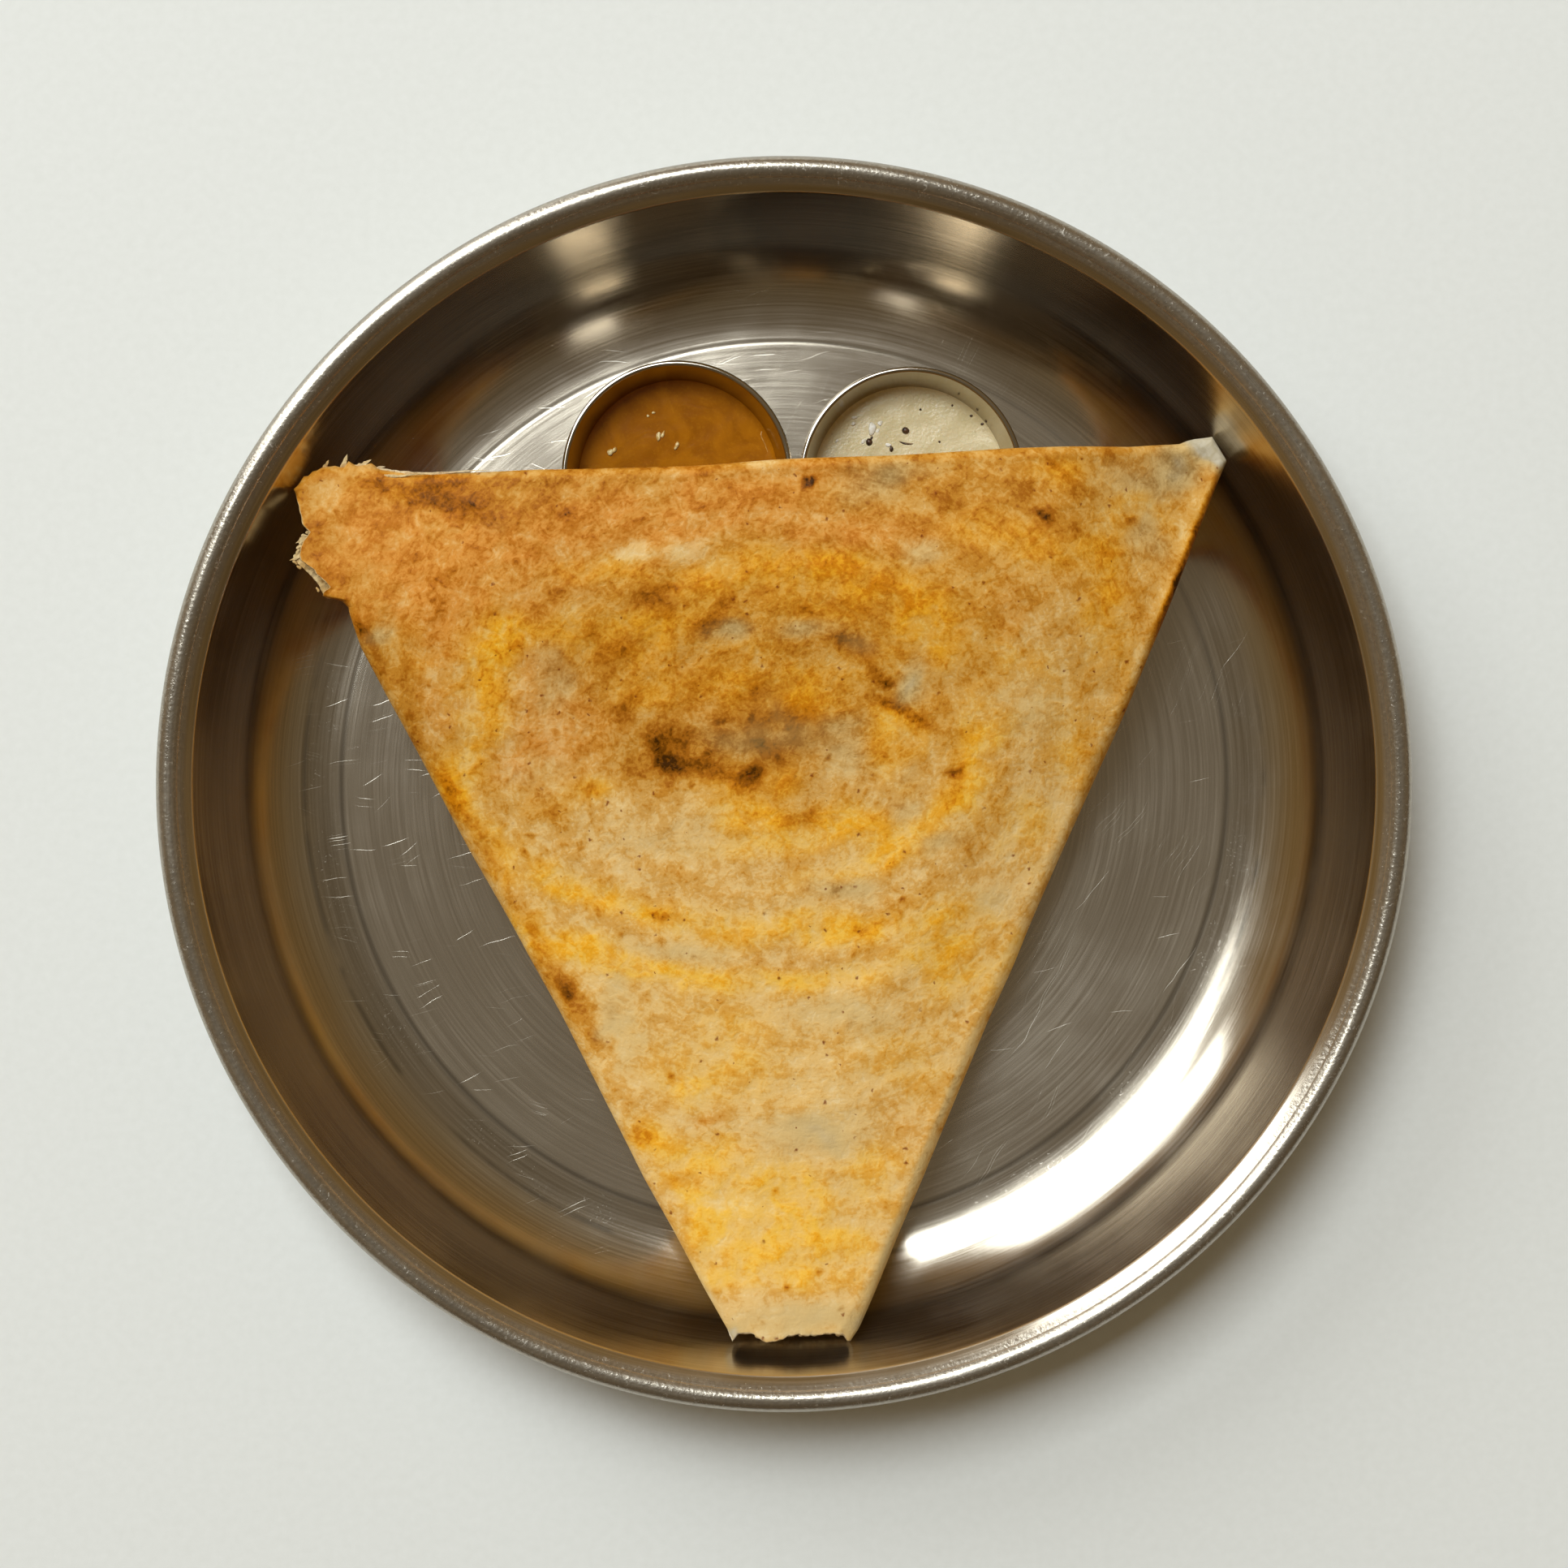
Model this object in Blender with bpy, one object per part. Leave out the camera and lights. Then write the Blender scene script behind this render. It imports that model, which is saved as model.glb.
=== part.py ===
"""A keema dosa on a deep steel plate, with a bowl of sambar and a bowl of coconut chutney.

The plate and both bowls are turned shells with a rolled rim. The dosa is a folded crepe: three
sides are folds, and two of its corners are torn ends that stand open. It lies on the rims of both
bowls at the top, on the plate's floor with its filled belly, and on the plate's wall at its tip.
Metres, +Z up, origin under the middle of the plate. +Y points from the dosa's tip to its top fold.
"""

import math

import bmesh
import bpy
import numpy as np
from mathutils import Matrix

# ---- driving dimensions ----------------------------------------------------------------------

GAP = 0.0003  # between pieces that touch

PLATE_RADIUS = 0.1525
PLATE_SHEET = 0.0009
PLATE_FLOOR_RADIUS = 0.1131
PLATE_FILLET = 0.02516
PLATE_WALL_SLOPE = math.radians(62)
PLATE_BEAD = 0.003
PLATE_LIP_RADIUS = 0.1442  # where the wall turns out into the lip
PLATE_RING_RADIUS = 0.112  # the faint ring pressed into the floor
PLATE_RING_WIDTH = 0.002
PLATE_RING_DEPTH = 0.00005
PLATE_SIDES = 60

BOWL_HEIGHT = 0.026
BOWL_SHEET = 0.0007
BOWL_BEAD = 0.00075
BOWL_CORNER = 0.0065
BOWL_WALL_SLOPE = math.radians(78)
BOWL_LEVEL = 0.011  # from the rim down to the food
BOWL_SIDES = 36
LEFT_BOWL = {"centre": (-0.0261, 0.0752), "radius": 0.0283}
RIGHT_BOWL = {"centre": (0.0311, 0.0745), "radius": 0.0275}

DOSA_SKIN = 0.0016
DOSA_BELLY_REACH = 0.034  # how far in from a fold the filling stands at its full height
TORN_EDGE = 0.0005  # how blunt a torn edge is
FOLD_STEPS = 3
DOSA_COLUMNS = 22
DOSA_ROWS = 26

# Stations along the dosa: y, height of the folds' middle, half height of a fold,
# top and underside along the middle line.
DOSA_STATIONS = np.array([
    (-0.137, 0.0220, 0.0040, 0.0260, 0.0180),
    (-0.110, 0.0184, 0.0044, 0.0235, 0.0110),
    (-0.075, 0.0150, 0.0046, 0.0226, 0.0036),
    (-0.035, 0.0138, 0.0046, 0.0226, 0.0013),
    (0.000, 0.0166, 0.0044, 0.0248, 0.0036),
    (0.022, 0.0224, 0.0036, 0.0278, 0.0124),
    (0.044, 0.0296, 0.0026, 0.0324, 0.0272),
    (0.086, 0.0299, 0.0026, 0.0326, 0.0273),
])
LEFT_DROOP = 0.0056  # of the torn corner, down to the plate's wall
RIGHT_DROOP = 0.0121  # of the pointed corner
TORN_CORNER_START = 0.045  # the y where the left fold ends and the torn corner begins

# The dosa's outline, anticlockwise in four runs that share their ends.
WEST = np.array([
    (-0.0139, -0.1344), (-0.0347, -0.0972), (-0.0608, -0.0471), (-0.0780, -0.0168),
    (-0.0933, 0.0134), (-0.1037, 0.0334), (-0.1066, 0.0430), (-0.1082, 0.0446),
    (-0.1128, 0.0456), (-0.1145, 0.0495), (-0.1197, 0.0545), (-0.1184, 0.0592),
    (-0.1161, 0.0614), (-0.1175, 0.0633), (-0.1183, 0.0679), (-0.1200, 0.0722),
])
EAST = np.array([
    (0.0187, -0.1336), (0.0560, -0.0471), (0.0822, 0.0134), (0.1072, 0.0748),
    (0.1094, 0.0798), (0.1058, 0.0859),
])
NORTH = np.array([
    (-0.1200, 0.0722), (-0.1174, 0.0755), (-0.1125, 0.0781), (-0.1074, 0.0779),
    (-0.1062, 0.0796), (-0.1048, 0.0781), (-0.1008, 0.0786), (-0.0978, 0.0771),
    (-0.0900, 0.0757), (-0.0620, 0.0762), (-0.0230, 0.0773), (-0.0033, 0.0788),
    (0.0270, 0.0799), (0.0560, 0.0817), (0.0850, 0.0827), (0.0974, 0.0837),
    (0.1004, 0.0851), (0.1058, 0.0859),
])
SOUTH = np.array([
    (-0.0139, -0.1344), (-0.0129, -0.1368), (-0.0115, -0.1344), (-0.0097, -0.1344),
    (-0.0073, -0.1350), (-0.0043, -0.1366), (-0.0003, -0.1358), (0.0011, -0.1347),
    (0.0057, -0.1350), (0.0125, -0.1344), (0.0133, -0.1350), (0.0147, -0.1344),
    (0.0159, -0.1367), (0.0169, -0.1365), (0.0187, -0.1336),
])

MOUTH_DEPTH = 0.027  # of the open end at the tip
SLOT_DEPTH = 0.010  # of the open end at the torn corner
SLOT_HEIGHT = 0.0024

# Seeds and bits on the food: x and y from the bowl's middle, radius.
CHUTNEY_SEEDS = [
    (-0.0010, 0.0131, 0.0010), (-0.0101, 0.0101, 0.0010), (-0.0045, 0.0085, 0.0008),
    (0.0172, 0.0140, 0.0006), (0.0150, 0.0163, 0.0005), (0.0105, 0.0190, 0.0005),
    (0.0062, -0.0068, 0.0009), (-0.0092, -0.0121, 0.0008), (0.0121, -0.0034, 0.0008),
]
SAMBAR_BITS = [
    (-0.0164, 0.0072, 0.0010), (-0.0046, 0.0108, 0.0009), (-0.0005, 0.0086, 0.0009),
    (-0.0064, 0.0166, 0.0006), (0.0083, -0.0072, 0.0010), (-0.0087, -0.0098, 0.0009),
]


# ---- shared ways of making shapes ------------------------------------------------------------


def material(name, colour, roughness, metallic=0.0):
    made = bpy.data.materials.new(name)
    made.use_nodes = True
    shader = made.node_tree.nodes["Principled BSDF"]
    shader.inputs["Base Color"].default_value = (*colour, 1.0)
    shader.inputs["Roughness"].default_value = roughness
    shader.inputs["Metallic"].default_value = metallic
    return made


def finished(name, shape, finish):
    """The object of a finished bmesh, shaded smooth but for its sharp edges."""
    mesh = bpy.data.meshes.new(name)
    shape.to_mesh(mesh)
    shape.free()
    mesh.shade_smooth()
    mesh.set_sharp_from_angle(angle=math.radians(40))
    mesh.materials.append(finish)
    made = bpy.data.objects.new(name, mesh)
    bpy.context.scene.collection.objects.link(made)
    return made


def arc(centre, radius, start, end, steps):
    """Points round a centre, from one angle to another, counted from +r towards +z."""
    angles = [start + (end - start) * i / steps for i in range(steps + 1)]
    return [(centre[0] + radius * math.cos(a), centre[1] + radius * math.sin(a)) for a in angles]


def turned(name, profile, sides, finish):
    """A solid of revolution about Z. The profile starts and ends on the axis."""
    shape = bmesh.new()
    points = [shape.verts.new((r, 0.0, z)) for r, z in profile]
    edges = [shape.edges.new(pair) for pair in zip(points, points[1:])]
    bmesh.ops.spin(
        shape, geom=points + edges, cent=(0, 0, 0), axis=(0, 0, 1),
        angle=2 * math.pi, steps=sides, use_merge=True,
    )
    bmesh.ops.remove_doubles(shape, verts=shape.verts, dist=1e-6)
    bmesh.ops.recalc_face_normals(shape, faces=shape.faces)
    return finished(name, shape, finish)


def between(stations, column, y):
    """A station value at y, on a smooth cubic curve through the stations."""
    ys, values = stations[:, 0], stations[:, column]
    slopes = np.gradient(values, ys)
    i = int(np.clip(np.searchsorted(ys, y) - 1, 0, len(ys) - 2))
    step = ys[i + 1] - ys[i]
    t = min(max((y - ys[i]) / step, 0.0), 1.0)
    return (
        (1 + 2 * t) * (1 - t) ** 2 * values[i] + t * (1 - t) ** 2 * step * slopes[i]
        + t * t * (3 - 2 * t) * values[i + 1] + t * t * (t - 1) * step * slopes[i + 1]
    )


def smooth(t):
    t = min(max(t, 0.0), 1.0)
    return t * t * (3 - 2 * t)


# ---- plate -----------------------------------------------------------------------------------


def plate_fillet_centre():
    return (PLATE_FLOOR_RADIUS, PLATE_SHEET + PLATE_FILLET)


def plate_wall_top():
    """Where the straight wall meets the lip, on the inside."""
    foot_r = PLATE_FLOOR_RADIUS + PLATE_FILLET * math.sin(PLATE_WALL_SLOPE)
    foot_z = PLATE_SHEET + PLATE_FILLET * (1 - math.cos(PLATE_WALL_SLOPE))
    return (PLATE_LIP_RADIUS, foot_z + (PLATE_LIP_RADIUS - foot_r) * math.tan(PLATE_WALL_SLOPE))


def make_plate(steel):
    """A flat floor with a pressed ring, a wide fillet, a sloping wall, a lip and a rolled bead."""
    centre = plate_fillet_centre()
    top_r, top_z = plate_wall_top()
    bead = (PLATE_RADIUS - PLATE_BEAD, top_z - 0.0006)
    down = -math.pi / 2
    ring = [
        (PLATE_RING_RADIUS - PLATE_RING_WIDTH / 2, PLATE_SHEET),
        (PLATE_RING_RADIUS, PLATE_SHEET - PLATE_RING_DEPTH),
        (PLATE_RING_RADIUS + PLATE_RING_WIDTH / 2, PLATE_SHEET),
    ]
    inside = arc(centre, PLATE_FILLET, down, down + PLATE_WALL_SLOPE, 7)
    rolled = arc(bead, PLATE_BEAD, math.radians(150), math.radians(-120), 9)
    under_lip = (top_r + PLATE_SHEET * 0.6, bead[1] - PLATE_BEAD * 0.6)
    outside = arc(centre, PLATE_FILLET + PLATE_SHEET, down + PLATE_WALL_SLOPE, down, 5)
    profile = [(0, PLATE_SHEET), *ring, *inside, (top_r, top_z), *rolled, under_lip, *outside, (0, 0)]
    return turned("plate", profile, PLATE_SIDES, steel)


# ---- bowls and what is in them ---------------------------------------------------------------


def bowl_wall(bowl):
    """Radius at the foot of the straight wall, its height there, and the radius at the rim."""
    rim_r = bowl["radius"] - 2 * BOWL_BEAD
    foot_z = BOWL_SHEET + BOWL_CORNER * (1 - math.cos(BOWL_WALL_SLOPE))
    run = (BOWL_HEIGHT - BOWL_BEAD - foot_z) / math.tan(BOWL_WALL_SLOPE)
    return rim_r - run, foot_z, rim_r


def bowl_inside(bowl, inset, steps):
    """The inside of a bowl from the axis to the top of its corner, moved in by inset."""
    foot_r, foot_z, _ = bowl_wall(bowl)
    floor_r = foot_r - BOWL_CORNER * math.sin(BOWL_WALL_SLOPE)
    down = -math.pi / 2
    corner = arc(
        (floor_r, BOWL_SHEET + BOWL_CORNER), BOWL_CORNER - inset, down, down + BOWL_WALL_SLOPE, steps
    )
    return [(0, BOWL_SHEET + inset), *corner]


def make_bowl(name, bowl, steel):
    _, _, rim_r = bowl_wall(bowl)
    bead = (bowl["radius"] - BOWL_BEAD, BOWL_HEIGHT - BOWL_BEAD)
    rolled = arc(bead, BOWL_BEAD, math.radians(180), math.radians(-90), 5)
    outside = bowl_inside(bowl, -BOWL_SHEET, 3)[::-1]
    profile = [*bowl_inside(bowl, 0.0, 4), *rolled, *outside]
    made = turned(name, profile, BOWL_SIDES, steel)
    made.location = (*bowl["centre"], PLATE_SHEET + GAP)
    return made


def make_food(name, bowl, bits, finish, bits_finish):
    """The food that fills a bowl up to its level, with the bits on top fused to it."""
    foot_r, foot_z, _ = bowl_wall(bowl)
    level = BOWL_HEIGHT - BOWL_LEVEL
    side_r = foot_r + (level - foot_z) / math.tan(BOWL_WALL_SLOPE) - GAP / math.sin(BOWL_WALL_SLOPE)
    profile = [*bowl_inside(bowl, GAP, 4), (side_r, level), (0, level)]
    food = turned(name, profile, BOWL_SIDES, finish)
    food.data.materials.append(bits_finish)
    place = (*bowl["centre"], PLATE_SHEET + GAP)
    food.location = place
    heap = bpy.data.collections.new(name + "_bits")
    bpy.context.scene.collection.children.link(heap)
    for number, (x, y, radius) in enumerate(bits):
        shape = bmesh.new()
        bmesh.ops.create_icosphere(shape, subdivisions=1, radius=radius)
        bmesh.ops.rotate(shape, verts=shape.verts, matrix=Matrix.Rotation(number, 3, "X"))
        bmesh.ops.scale(shape, verts=shape.verts, vec=(1.15, 0.9, 0.85))
        mesh = bpy.data.meshes.new(f"{name}_bit_{number}")
        shape.to_mesh(mesh)
        shape.free()
        bit = bpy.data.objects.new(mesh.name, mesh)
        bit.location = (place[0] + x, place[1] + y, place[2] + level + radius * 0.15)
        heap.objects.link(bit)
    fuse(food, heap)
    return food


def fuse(body, heap):
    """Joins the objects of a collection to the body and removes them."""
    join = body.modifiers.new("join", "BOOLEAN")
    join.operation = "UNION"
    join.operand_type = "COLLECTION"
    join.collection = heap
    join.solver = "EXACT"
    bpy.context.view_layer.update()
    seen = body.evaluated_get(bpy.context.evaluated_depsgraph_get())
    joined = bpy.data.meshes.new_from_object(seen)
    body.modifiers.clear()
    body.data = joined
    for piece in list(heap.objects):
        bpy.data.objects.remove(piece)
    bpy.data.collections.remove(heap)


# ---- dosa ------------------------------------------------------------------------------------


def run_point(run, share, axis):
    """The point of an outline run at a share of its way along the axis."""
    keys = (run[:, axis] - run[0, axis]) / (run[-1, axis] - run[0, axis])
    return np.array([np.interp(share, keys, run[:, 0]), np.interp(share, keys, run[:, 1])])


def outline_point(u, s, runs):
    """The plan position at u across and s along, blended from the four runs of the outline."""
    west, east, south, north = runs
    left, right = run_point(west, s, 1), run_point(east, s, 1)
    low, high = run_point(south, u, 0), run_point(north, u, 0)
    corners = (
        (1 - u) * (1 - s) * west[0] + u * (1 - s) * east[0]
        + (1 - u) * s * west[-1] + u * s * east[-1]
    )
    return (1 - u) * left + u * right + (1 - s) * low + s * high - corners


def droop(x, y):
    """How far the two top corners, past the bowls, hang lower than the fold between them."""
    left = LEFT_DROOP * smooth((-x - 0.054) / 0.060)
    right = RIGHT_DROOP * smooth((x - 0.062) / 0.044)
    return (left + right) * smooth((y - 0.015) / 0.055)


def shares(count, low_edge, high_edge):
    """Grid shares from 0 to 1, with a fan of steps within each edge's own width."""
    fan = [1 - math.cos(math.pi / 2 * i / FOLD_STEPS) for i in range(FOLD_STEPS)]
    middle = [low_edge + (1 - low_edge - high_edge) * i / count for i in range(count + 1)]
    return [low_edge * f for f in fan] + middle + [1 - high_edge * f for f in reversed(fan)]


def pillow(name, runs, columns, rows, edge_widths, heights, finish):
    """A closed solid over an outline: an upper and a lower skin on one grid, joined at its rim.

    heights(x, y, reach) gives the upper and the lower height, where reach is the distance in from
    each edge (west, east, south, north). edge_widths(s) gives how wide each edge's rounding is.
    """
    shape = bmesh.new()
    upper, lower = [], []
    length = runs[0][-1, 1] - runs[0][0, 1]
    for s in rows:
        across = np.linalg.norm(outline_point(1, s, runs) - outline_point(0, s, runs))
        west_w, east_w, _, _ = edge_widths(s)
        up, down = [], []
        grid = columns(west_w / across, east_w / across)
        for u in grid:
            x, y = outline_point(u, s, runs)
            reach = (u * across, (1 - u) * across, s * length, (1 - s) * length)
            top, bottom = heights(x, y, s, reach)
            rim = u in (grid[0], grid[-1]) or s in (rows[0], rows[-1])
            up.append(shape.verts.new((x, y, (top + bottom) / 2 if rim else top)))
            down.append(up[-1] if rim else shape.verts.new((x, y, bottom)))
        upper.append(up)
        lower.append(down)
    for skin in (upper, lower):
        for row, after in zip(skin, skin[1:]):
            for a, b, c, d in zip(row, row[1:], after[1:], after):
                shape.faces.new((a, b, c, d))
    bmesh.ops.triangulate(shape, faces=shape.faces)
    bmesh.ops.recalc_face_normals(shape, faces=shape.faces)
    return finished(name, shape, finish)


def dosa_edge_widths(s):
    """Width of the rounding at each edge: a fold's own half height, or a blunt torn edge."""
    y = WEST[0, 1] + s * (WEST[-1, 1] - WEST[0, 1])
    fold = between(DOSA_STATIONS, 2, y)
    west = TORN_EDGE if y > TORN_CORNER_START - 0.003 else fold
    return west, fold, TORN_EDGE, DOSA_STATIONS[-1, 2]


def dosa_heights(x, y, s, reach):
    """Upper and lower height of the dosa: rounded folds, and a belly of filling between them."""
    middle, fold, top, under = (between(DOSA_STATIONS, c, y) for c in (1, 2, 3, 4))
    rounding = min(min(d / w, 1.0) for d, w in zip(reach, dosa_edge_widths(s)))
    half = fold * math.sqrt(1 - (1 - rounding) ** 2)
    in_from_fold = min(reach[0], reach[1], reach[3])
    wide = (reach[0] + reach[1]) / 2
    full = smooth(in_from_fold / min(DOSA_BELLY_REACH, 0.9 * wide))
    sag = droop(x, y)
    upper = middle + half + full * (top - middle - fold)
    lower = middle - half - full * (middle - fold - under)
    return upper - sag, lower - sag


def make_dosa(crepe):
    fan = [1 - math.cos(math.pi / 2 * i / FOLD_STEPS) for i in range(FOLD_STEPS)]
    length = WEST[-1, 1] - WEST[0, 1]
    torn, fold = TORN_EDGE / length, DOSA_STATIONS[-1, 2] / length
    corner = (TORN_CORNER_START - WEST[0, 1]) / length
    fold_rows = [torn + (corner - torn) * i / DOSA_ROWS for i in range(DOSA_ROWS)]
    corner_rows = [corner + (1 - fold - corner) * i / 8 for i in range(9)]
    rows = [0.0, *fold_rows, *corner_rows, *[1 - fold * f for f in reversed(fan)]]
    dosa = pillow(
        "dosa", (WEST, EAST, SOUTH, NORTH), lambda a, b: shares(DOSA_COLUMNS, a, b), rows,
        dosa_edge_widths, dosa_heights, crepe,
    )
    cut(dosa, mouth_cutter(crepe))
    cut(dosa, slot_cutter(crepe))
    return dosa


def cut(body, cutter):
    cutter.hide_render = True
    cutter.display_type = "WIRE"
    take = body.modifiers.new(cutter.name, "BOOLEAN")
    take.operation = "DIFFERENCE"
    take.solver = "EXACT"
    take.object = cutter


def quad_runs(south_west, south_east, north_east, north_west):
    """Four straight runs for the outline of a cutter."""
    west, east = np.array([south_west, north_west]), np.array([south_east, north_east])
    return west, east, np.array([south_west, south_east]), np.array([north_west, north_east])


def mouth_cutter(crepe):
    """The hollow of the open tip. It starts outside the torn edge and closes inside the dosa."""
    left, right = WEST[1] - WEST[0], EAST[1] - EAST[0]
    inset = DOSA_SKIN * 1.15
    start = -0.142

    def on_fold(corner, way, y, side):
        return np.array([corner[0] + way[0] / way[1] * (y - corner[1]) + side * inset, y])

    deep = WEST[0, 1] + MOUTH_DEPTH
    runs = quad_runs(
        on_fold(WEST[0], left, start, 1), on_fold(EAST[0], right, start, -1),
        on_fold(EAST[0], right, deep, -1), on_fold(WEST[0], left, deep, 1),
    )

    def heights(x, y, s, reach):
        middle, fold = between(DOSA_STATIONS, 1, y), between(DOSA_STATIONS, 2, y)
        side = min(reach[0], reach[1], fold) / fold
        closing = math.sqrt(max(0.0, 1 - s * s))
        half = (fold - DOSA_SKIN) * math.sqrt(1 - (1 - side) ** 2) * closing
        return middle + half, middle - half

    width = DOSA_STATIONS[0, 2]
    return pillow(
        "mouth_cutter", runs, lambda a, b: shares(6, a, b), [i / 8 for i in range(9)],
        lambda s: (width, width, width, width), heights, crepe,
    )


def slot_cutter(crepe):
    """The gap between the crepe's two layers at the torn corner."""
    low, high = 0.0480, 0.0690
    runs = quad_runs((-0.1250, low), (-0.1085, low), (-0.1115, high), (-0.1250, high))

    def heights(x, y, s, reach):
        middle = between(DOSA_STATIONS, 1, y) - droop(x, y)
        inner = (x + 0.1085 + SLOT_DEPTH) / SLOT_DEPTH
        half = SLOT_HEIGHT / 2 * math.sqrt(max(0.0, 1 - max(0.0, inner) ** 2)) * (1 - (2 * s - 1) ** 4)
        return middle + half, middle - half

    return pillow(
        "slot_cutter", runs, lambda a, b: [i / 5 for i in range(6)], [i / 6 for i in range(7)],
        lambda s: (1, 1, 1, 1), heights, crepe,
    )


# ---- the whole -------------------------------------------------------------------------------


def main():
    for old in list(bpy.data.objects):
        bpy.data.objects.remove(old)
    steel = material("steel", (0.56, 0.54, 0.51), 0.22, 1.0)
    sambar = material("sambar", (0.36, 0.13, 0.012), 0.12)
    chutney = material("chutney", (0.66, 0.53, 0.33), 0.35)
    seed = material("seed", (0.10, 0.06, 0.03), 0.5)
    lentil = material("lentil", (0.75, 0.55, 0.25), 0.4)
    crepe = material("crepe", (0.62, 0.36, 0.11), 0.5)
    make_plate(steel)
    make_bowl("bowl_left", LEFT_BOWL, steel)
    make_bowl("bowl_right", RIGHT_BOWL, steel)
    make_food("sambar", LEFT_BOWL, SAMBAR_BITS, sambar, lentil)
    make_food("chutney", RIGHT_BOWL, CHUTNEY_SEEDS, chutney, seed)
    make_dosa(crepe)


main()
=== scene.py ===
"""A keema dosa across a deep steel plate, with a bowl of sambar and a bowl of coconut chutney.

Metres, +Z up, the plate standing on z = 0 with its middle on the Z axis. +Y runs from the dosa's
open tip to its top fold. Sections follow the way the plate is laid: plate, bowls, sambar,
chutney, dosa, and last the table, the light and the camera.
"""

import math

import bmesh
import bpy
import numpy as np
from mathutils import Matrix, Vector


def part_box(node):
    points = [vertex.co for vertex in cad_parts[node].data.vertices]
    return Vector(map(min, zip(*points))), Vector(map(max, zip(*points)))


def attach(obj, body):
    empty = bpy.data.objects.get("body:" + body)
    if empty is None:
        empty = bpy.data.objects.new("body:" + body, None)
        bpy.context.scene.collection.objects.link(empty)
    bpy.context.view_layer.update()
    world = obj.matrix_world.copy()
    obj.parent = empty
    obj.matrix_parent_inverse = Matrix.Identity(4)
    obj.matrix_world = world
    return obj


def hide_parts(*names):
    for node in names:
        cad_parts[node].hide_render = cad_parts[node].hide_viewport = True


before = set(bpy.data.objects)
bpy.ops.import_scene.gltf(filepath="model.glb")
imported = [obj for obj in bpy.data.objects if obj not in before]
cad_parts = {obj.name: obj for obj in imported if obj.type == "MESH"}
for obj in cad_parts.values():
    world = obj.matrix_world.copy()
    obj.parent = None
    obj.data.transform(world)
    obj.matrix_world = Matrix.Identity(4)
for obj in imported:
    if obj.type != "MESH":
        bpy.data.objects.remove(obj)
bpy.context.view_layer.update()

# ---- Plate -----------------------------------------------------------------------------------
# A deep round plate pressed from one disc of 0.9 mm stainless steel, with a faint ring in its floor,
# a wide fillet, and a rim rolled into a bead. It was polished in rings, and use has scratched the
# floor and worn the bead.

plate_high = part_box("plate")[1]
PLATE_RADIUS = plate_high.x
SHEET = 0.0009
FLOOR_RADIUS = 0.1131
FILLET = 0.02516
WALL_SLOPE = 62
BEAD = 0.003
LIP_RADIUS = 0.1442
RING_RADIUS = 0.1120
RING_WIDTH = 0.0020
RING_DEPTH = 0.00005
WALL_FOOT = 0.1212
PLATE_SIDES = 288
DULL_FLOOR = (0.1110, 0.1165)  # radii between which the duller floor ends
FOOT_DIRT = 0.0012  # half width of the dark line at the wall's foot
WORN_BAND = (0.1120, 0.1145, 0.1190, 0.1225)  # radii: starts, is at its full, still is, ends
HATCH_AROUND, HATCH_ACROSS = 380.0, 330.0  # how fine the worn band's hatching is
POLISH_AROUND = 2.2  # how often a polish line changes round a ring
SCRATCHES = [  # slant (degrees), length and gap (m), share of cells left out, brightness, side
    (8, 0.018, 0.0005, 0.940, 0.60, "left"), (28, 0.016, 0.0004, 0.955, 0.55, "left"),
    (-10, 0.014, 0.0004, 0.950, 0.40, "left"), (16, 0.024, 0.0004, 0.975, 0.60, "left"),
    (52, 0.036, 0.0004, 0.978, 0.50, "right"), (60, 0.045, 0.0003, 0.840, 0.22, "right"),
    (66, 0.036, 0.0003, 0.880, 0.20, "right"), (12, 0.016, 0.0004, 0.985, 0.35, "right"),
]


def tint(red, green, blue):
    """Linear colour of a colour as a screen shows it, each part out of 255."""
    parts = []
    for part in (red, green, blue):
        share = part / 255
        parts.append(share / 12.92 if share <= 0.04045 else ((share + 0.055) / 1.055) ** 2.4)
    return (*parts, 1.0)


def arc(centre, radius, start, end, count):
    """Points (r, z) round a centre: its place plus radius times cosine and sine, start to end."""
    angles = np.radians(np.linspace(start, end, count))
    return np.column_stack((centre[0] + radius * np.cos(angles), centre[1] + radius * np.sin(angles)))


def straight(start, end, count):
    """Points evenly spaced between two points (r, z), without the two themselves."""
    share = np.linspace(0, 1, count + 2)[1:-1, None]
    return np.array(start) * (1 - share) + np.array(end) * share


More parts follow.
